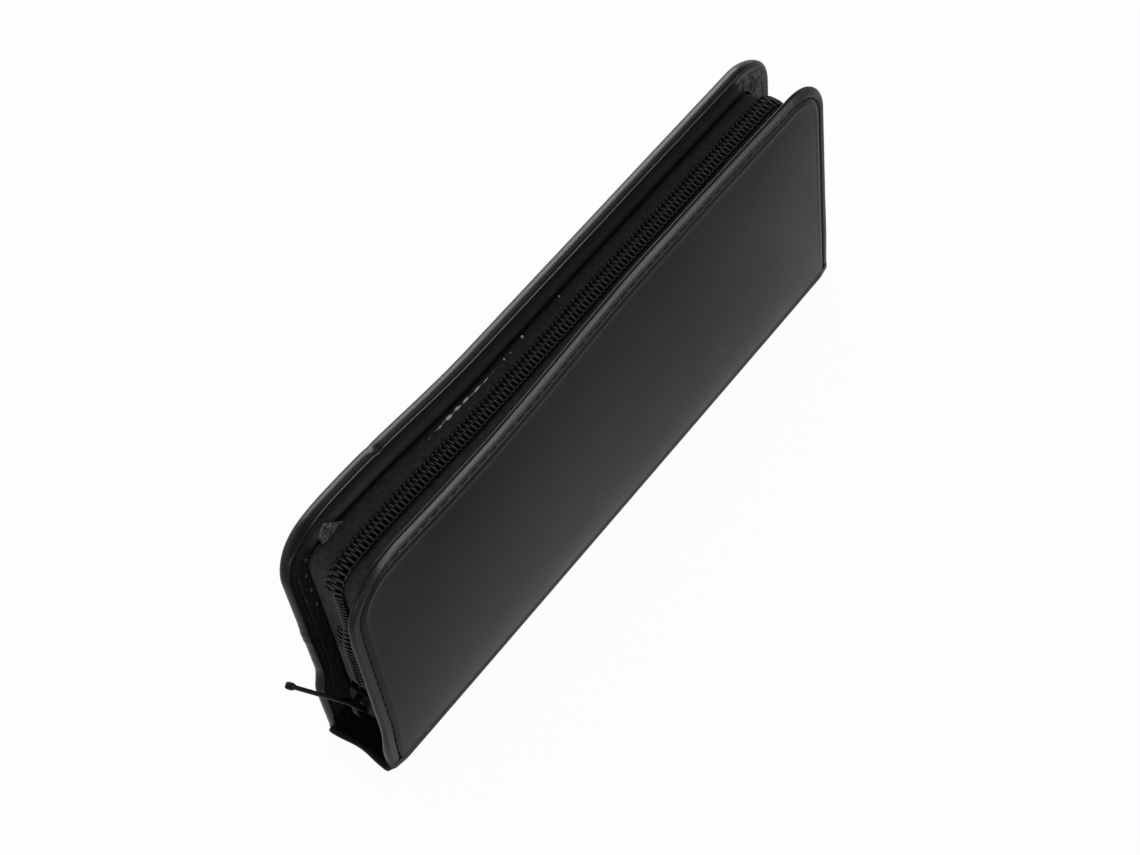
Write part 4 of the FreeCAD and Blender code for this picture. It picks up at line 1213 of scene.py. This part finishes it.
def floor():
    """A pale floor that shows white to the camera and keeps a soft shadow. In reflections it glows, a painted
    reflection that is bright close to the case and fades away from it."""
    ends = np.array([-FLOOR_HALF, FLOOR_HALF])
    points = spread(ends, ends[:, None], -FLOOR_DROP)
    surface = bpy.data.materials.new("white_floor")
    surface.use_nodes = True
    tree = surface.node_tree
    tree.nodes.clear()
    diffuse = add(tree, "ShaderNodeBsdfDiffuse", {"Color": grey(FLOOR_TONE)})
    glow = add(tree, "ShaderNodeEmission", {"Color": grey(1.0), "Strength": 1.0})
    path = tree.nodes.new("ShaderNodeLightPath").outputs
    mirrored = math_node(tree, "MAXIMUM", path["Is Glossy Ray"], path["Is Transmission Ray"])
    place = split(tree, tree.nodes.new("ShaderNodeTexCoord").outputs["Object"])
    past = [math_node(tree, "SUBTRACT", math_node(tree, "ABSOLUTE", place[axis]), half)
            for axis, half in ((0, HALF_LENGTH), (1, HALF_THICK))]
    away = math_node(tree, "MAXIMUM", math_node(tree, "MAXIMUM", *past), 0.0)
    near, beside = (math_node(tree, "EXPONENT", math_node(tree, "MULTIPLY", away, -1.0 / reach))
                    for reach in MIRROR_REACH)
    # Painted reflection: the floor glows for glossy rays, brightest close to the case
    bright = math_node(tree, "MULTIPLY_ADD", beside, MIRRORED[1], MIRRORED[2])
    bright = math_node(tree, "MULTIPLY_ADD", near, MIRRORED[0], bright)
    mirrored = math_node(tree, "MULTIPLY", mirrored, bright)
    seen = math_node(tree, "MULTIPLY", path["Is Camera Ray"], FLOOR_SEEN)
    share = math_node(tree, "MAXIMUM", seen, mirrored)
    mixed = add(tree, "ShaderNodeMixShader", {0: share, 1: diffuse.outputs[0], 2: glow.outputs[0]})
    add(tree, "ShaderNodeOutputMaterial", {"Surface": mixed.outputs[0]})
    made = piece("floor", [grid(points, flip=True)], surface)


def lamp(name, power_used, size, place, target):
    """A soft rectangular lamp that faces a point, its top as near to upright as can be."""
    data = bpy.data.lights.new(name, "AREA")
    data.energy = power_used
    data.shape = "RECTANGLE"
    data.size, data.size_y = size
    made = bpy.data.objects.new(name, data)
    bpy.context.scene.collection.objects.link(made)
    forward = unit(np.array(target) - np.array(place))
    made.location = place
    made.rotation_euler = Vector(forward).to_track_quat("-Z", "Y").to_matrix().to_euler()


def camera():
    """The camera at the photograph's angle, with its slight roll."""
    data = bpy.data.cameras.new("camera")
    data.sensor_fit = "HORIZONTAL"
    data.sensor_width = CAMERA_FRAME
    data.lens = CAMERA_LENS
    data.clip_start = 0.01
    made = bpy.data.objects.new("camera", data)
    bpy.context.scene.collection.objects.link(made)
    backward = np.cross(CAMERA_RIGHT, -CAMERA_DOWN)
    turn = np.eye(4)
    turn[:3] = np.stack([CAMERA_RIGHT, -CAMERA_DOWN, backward, CAMERA_PLACE], axis=-1)
    made.matrix_world = Matrix(turn.tolist())
    bpy.context.scene.camera = made


def world():
    """Pale light from all round, brighter near the horizon than overhead."""
    made = bpy.data.worlds.new("studio")
    made.use_nodes = True
    tree = made.node_tree
    shade = tree.nodes["Background"]
    shade.inputs["Color"].default_value = grey(1.0)
    way = split(tree, tree.nodes.new("ShaderNodeTexCoord").outputs["Generated"])
    tree.links.new(ramp(tree, way["Z"], 0.08, 0.5, HORIZON_LIGHT, OVERHEAD_LIGHT), shade.inputs["Strength"])
    bpy.context.scene.world = made


floor()
camera()
world()
# Power in watts, size, place and the point that is faced
lamp("front_lamp", 16.5, (0.85, 0.62), (0.50, -1.48, 0.44), (0.0, 0.0, 0.05))
lamp("back_lamp", 7.5, (0.9, 0.5), (0.45, 1.0, 0.32), (0.0, 0.0, 0.05))
lamp("left_lamp", 1.3, (0.32, 0.18), (-0.9, -0.55, 0.18), (0.0, 0.0, 0.05))
lamp("overhead_lamp", 2.3, (0.8, 0.8), (0.3, 0.3, 1.1), (0.0, 0.0, 0.04))
bpy.context.scene.view_settings.view_transform = "Standard"
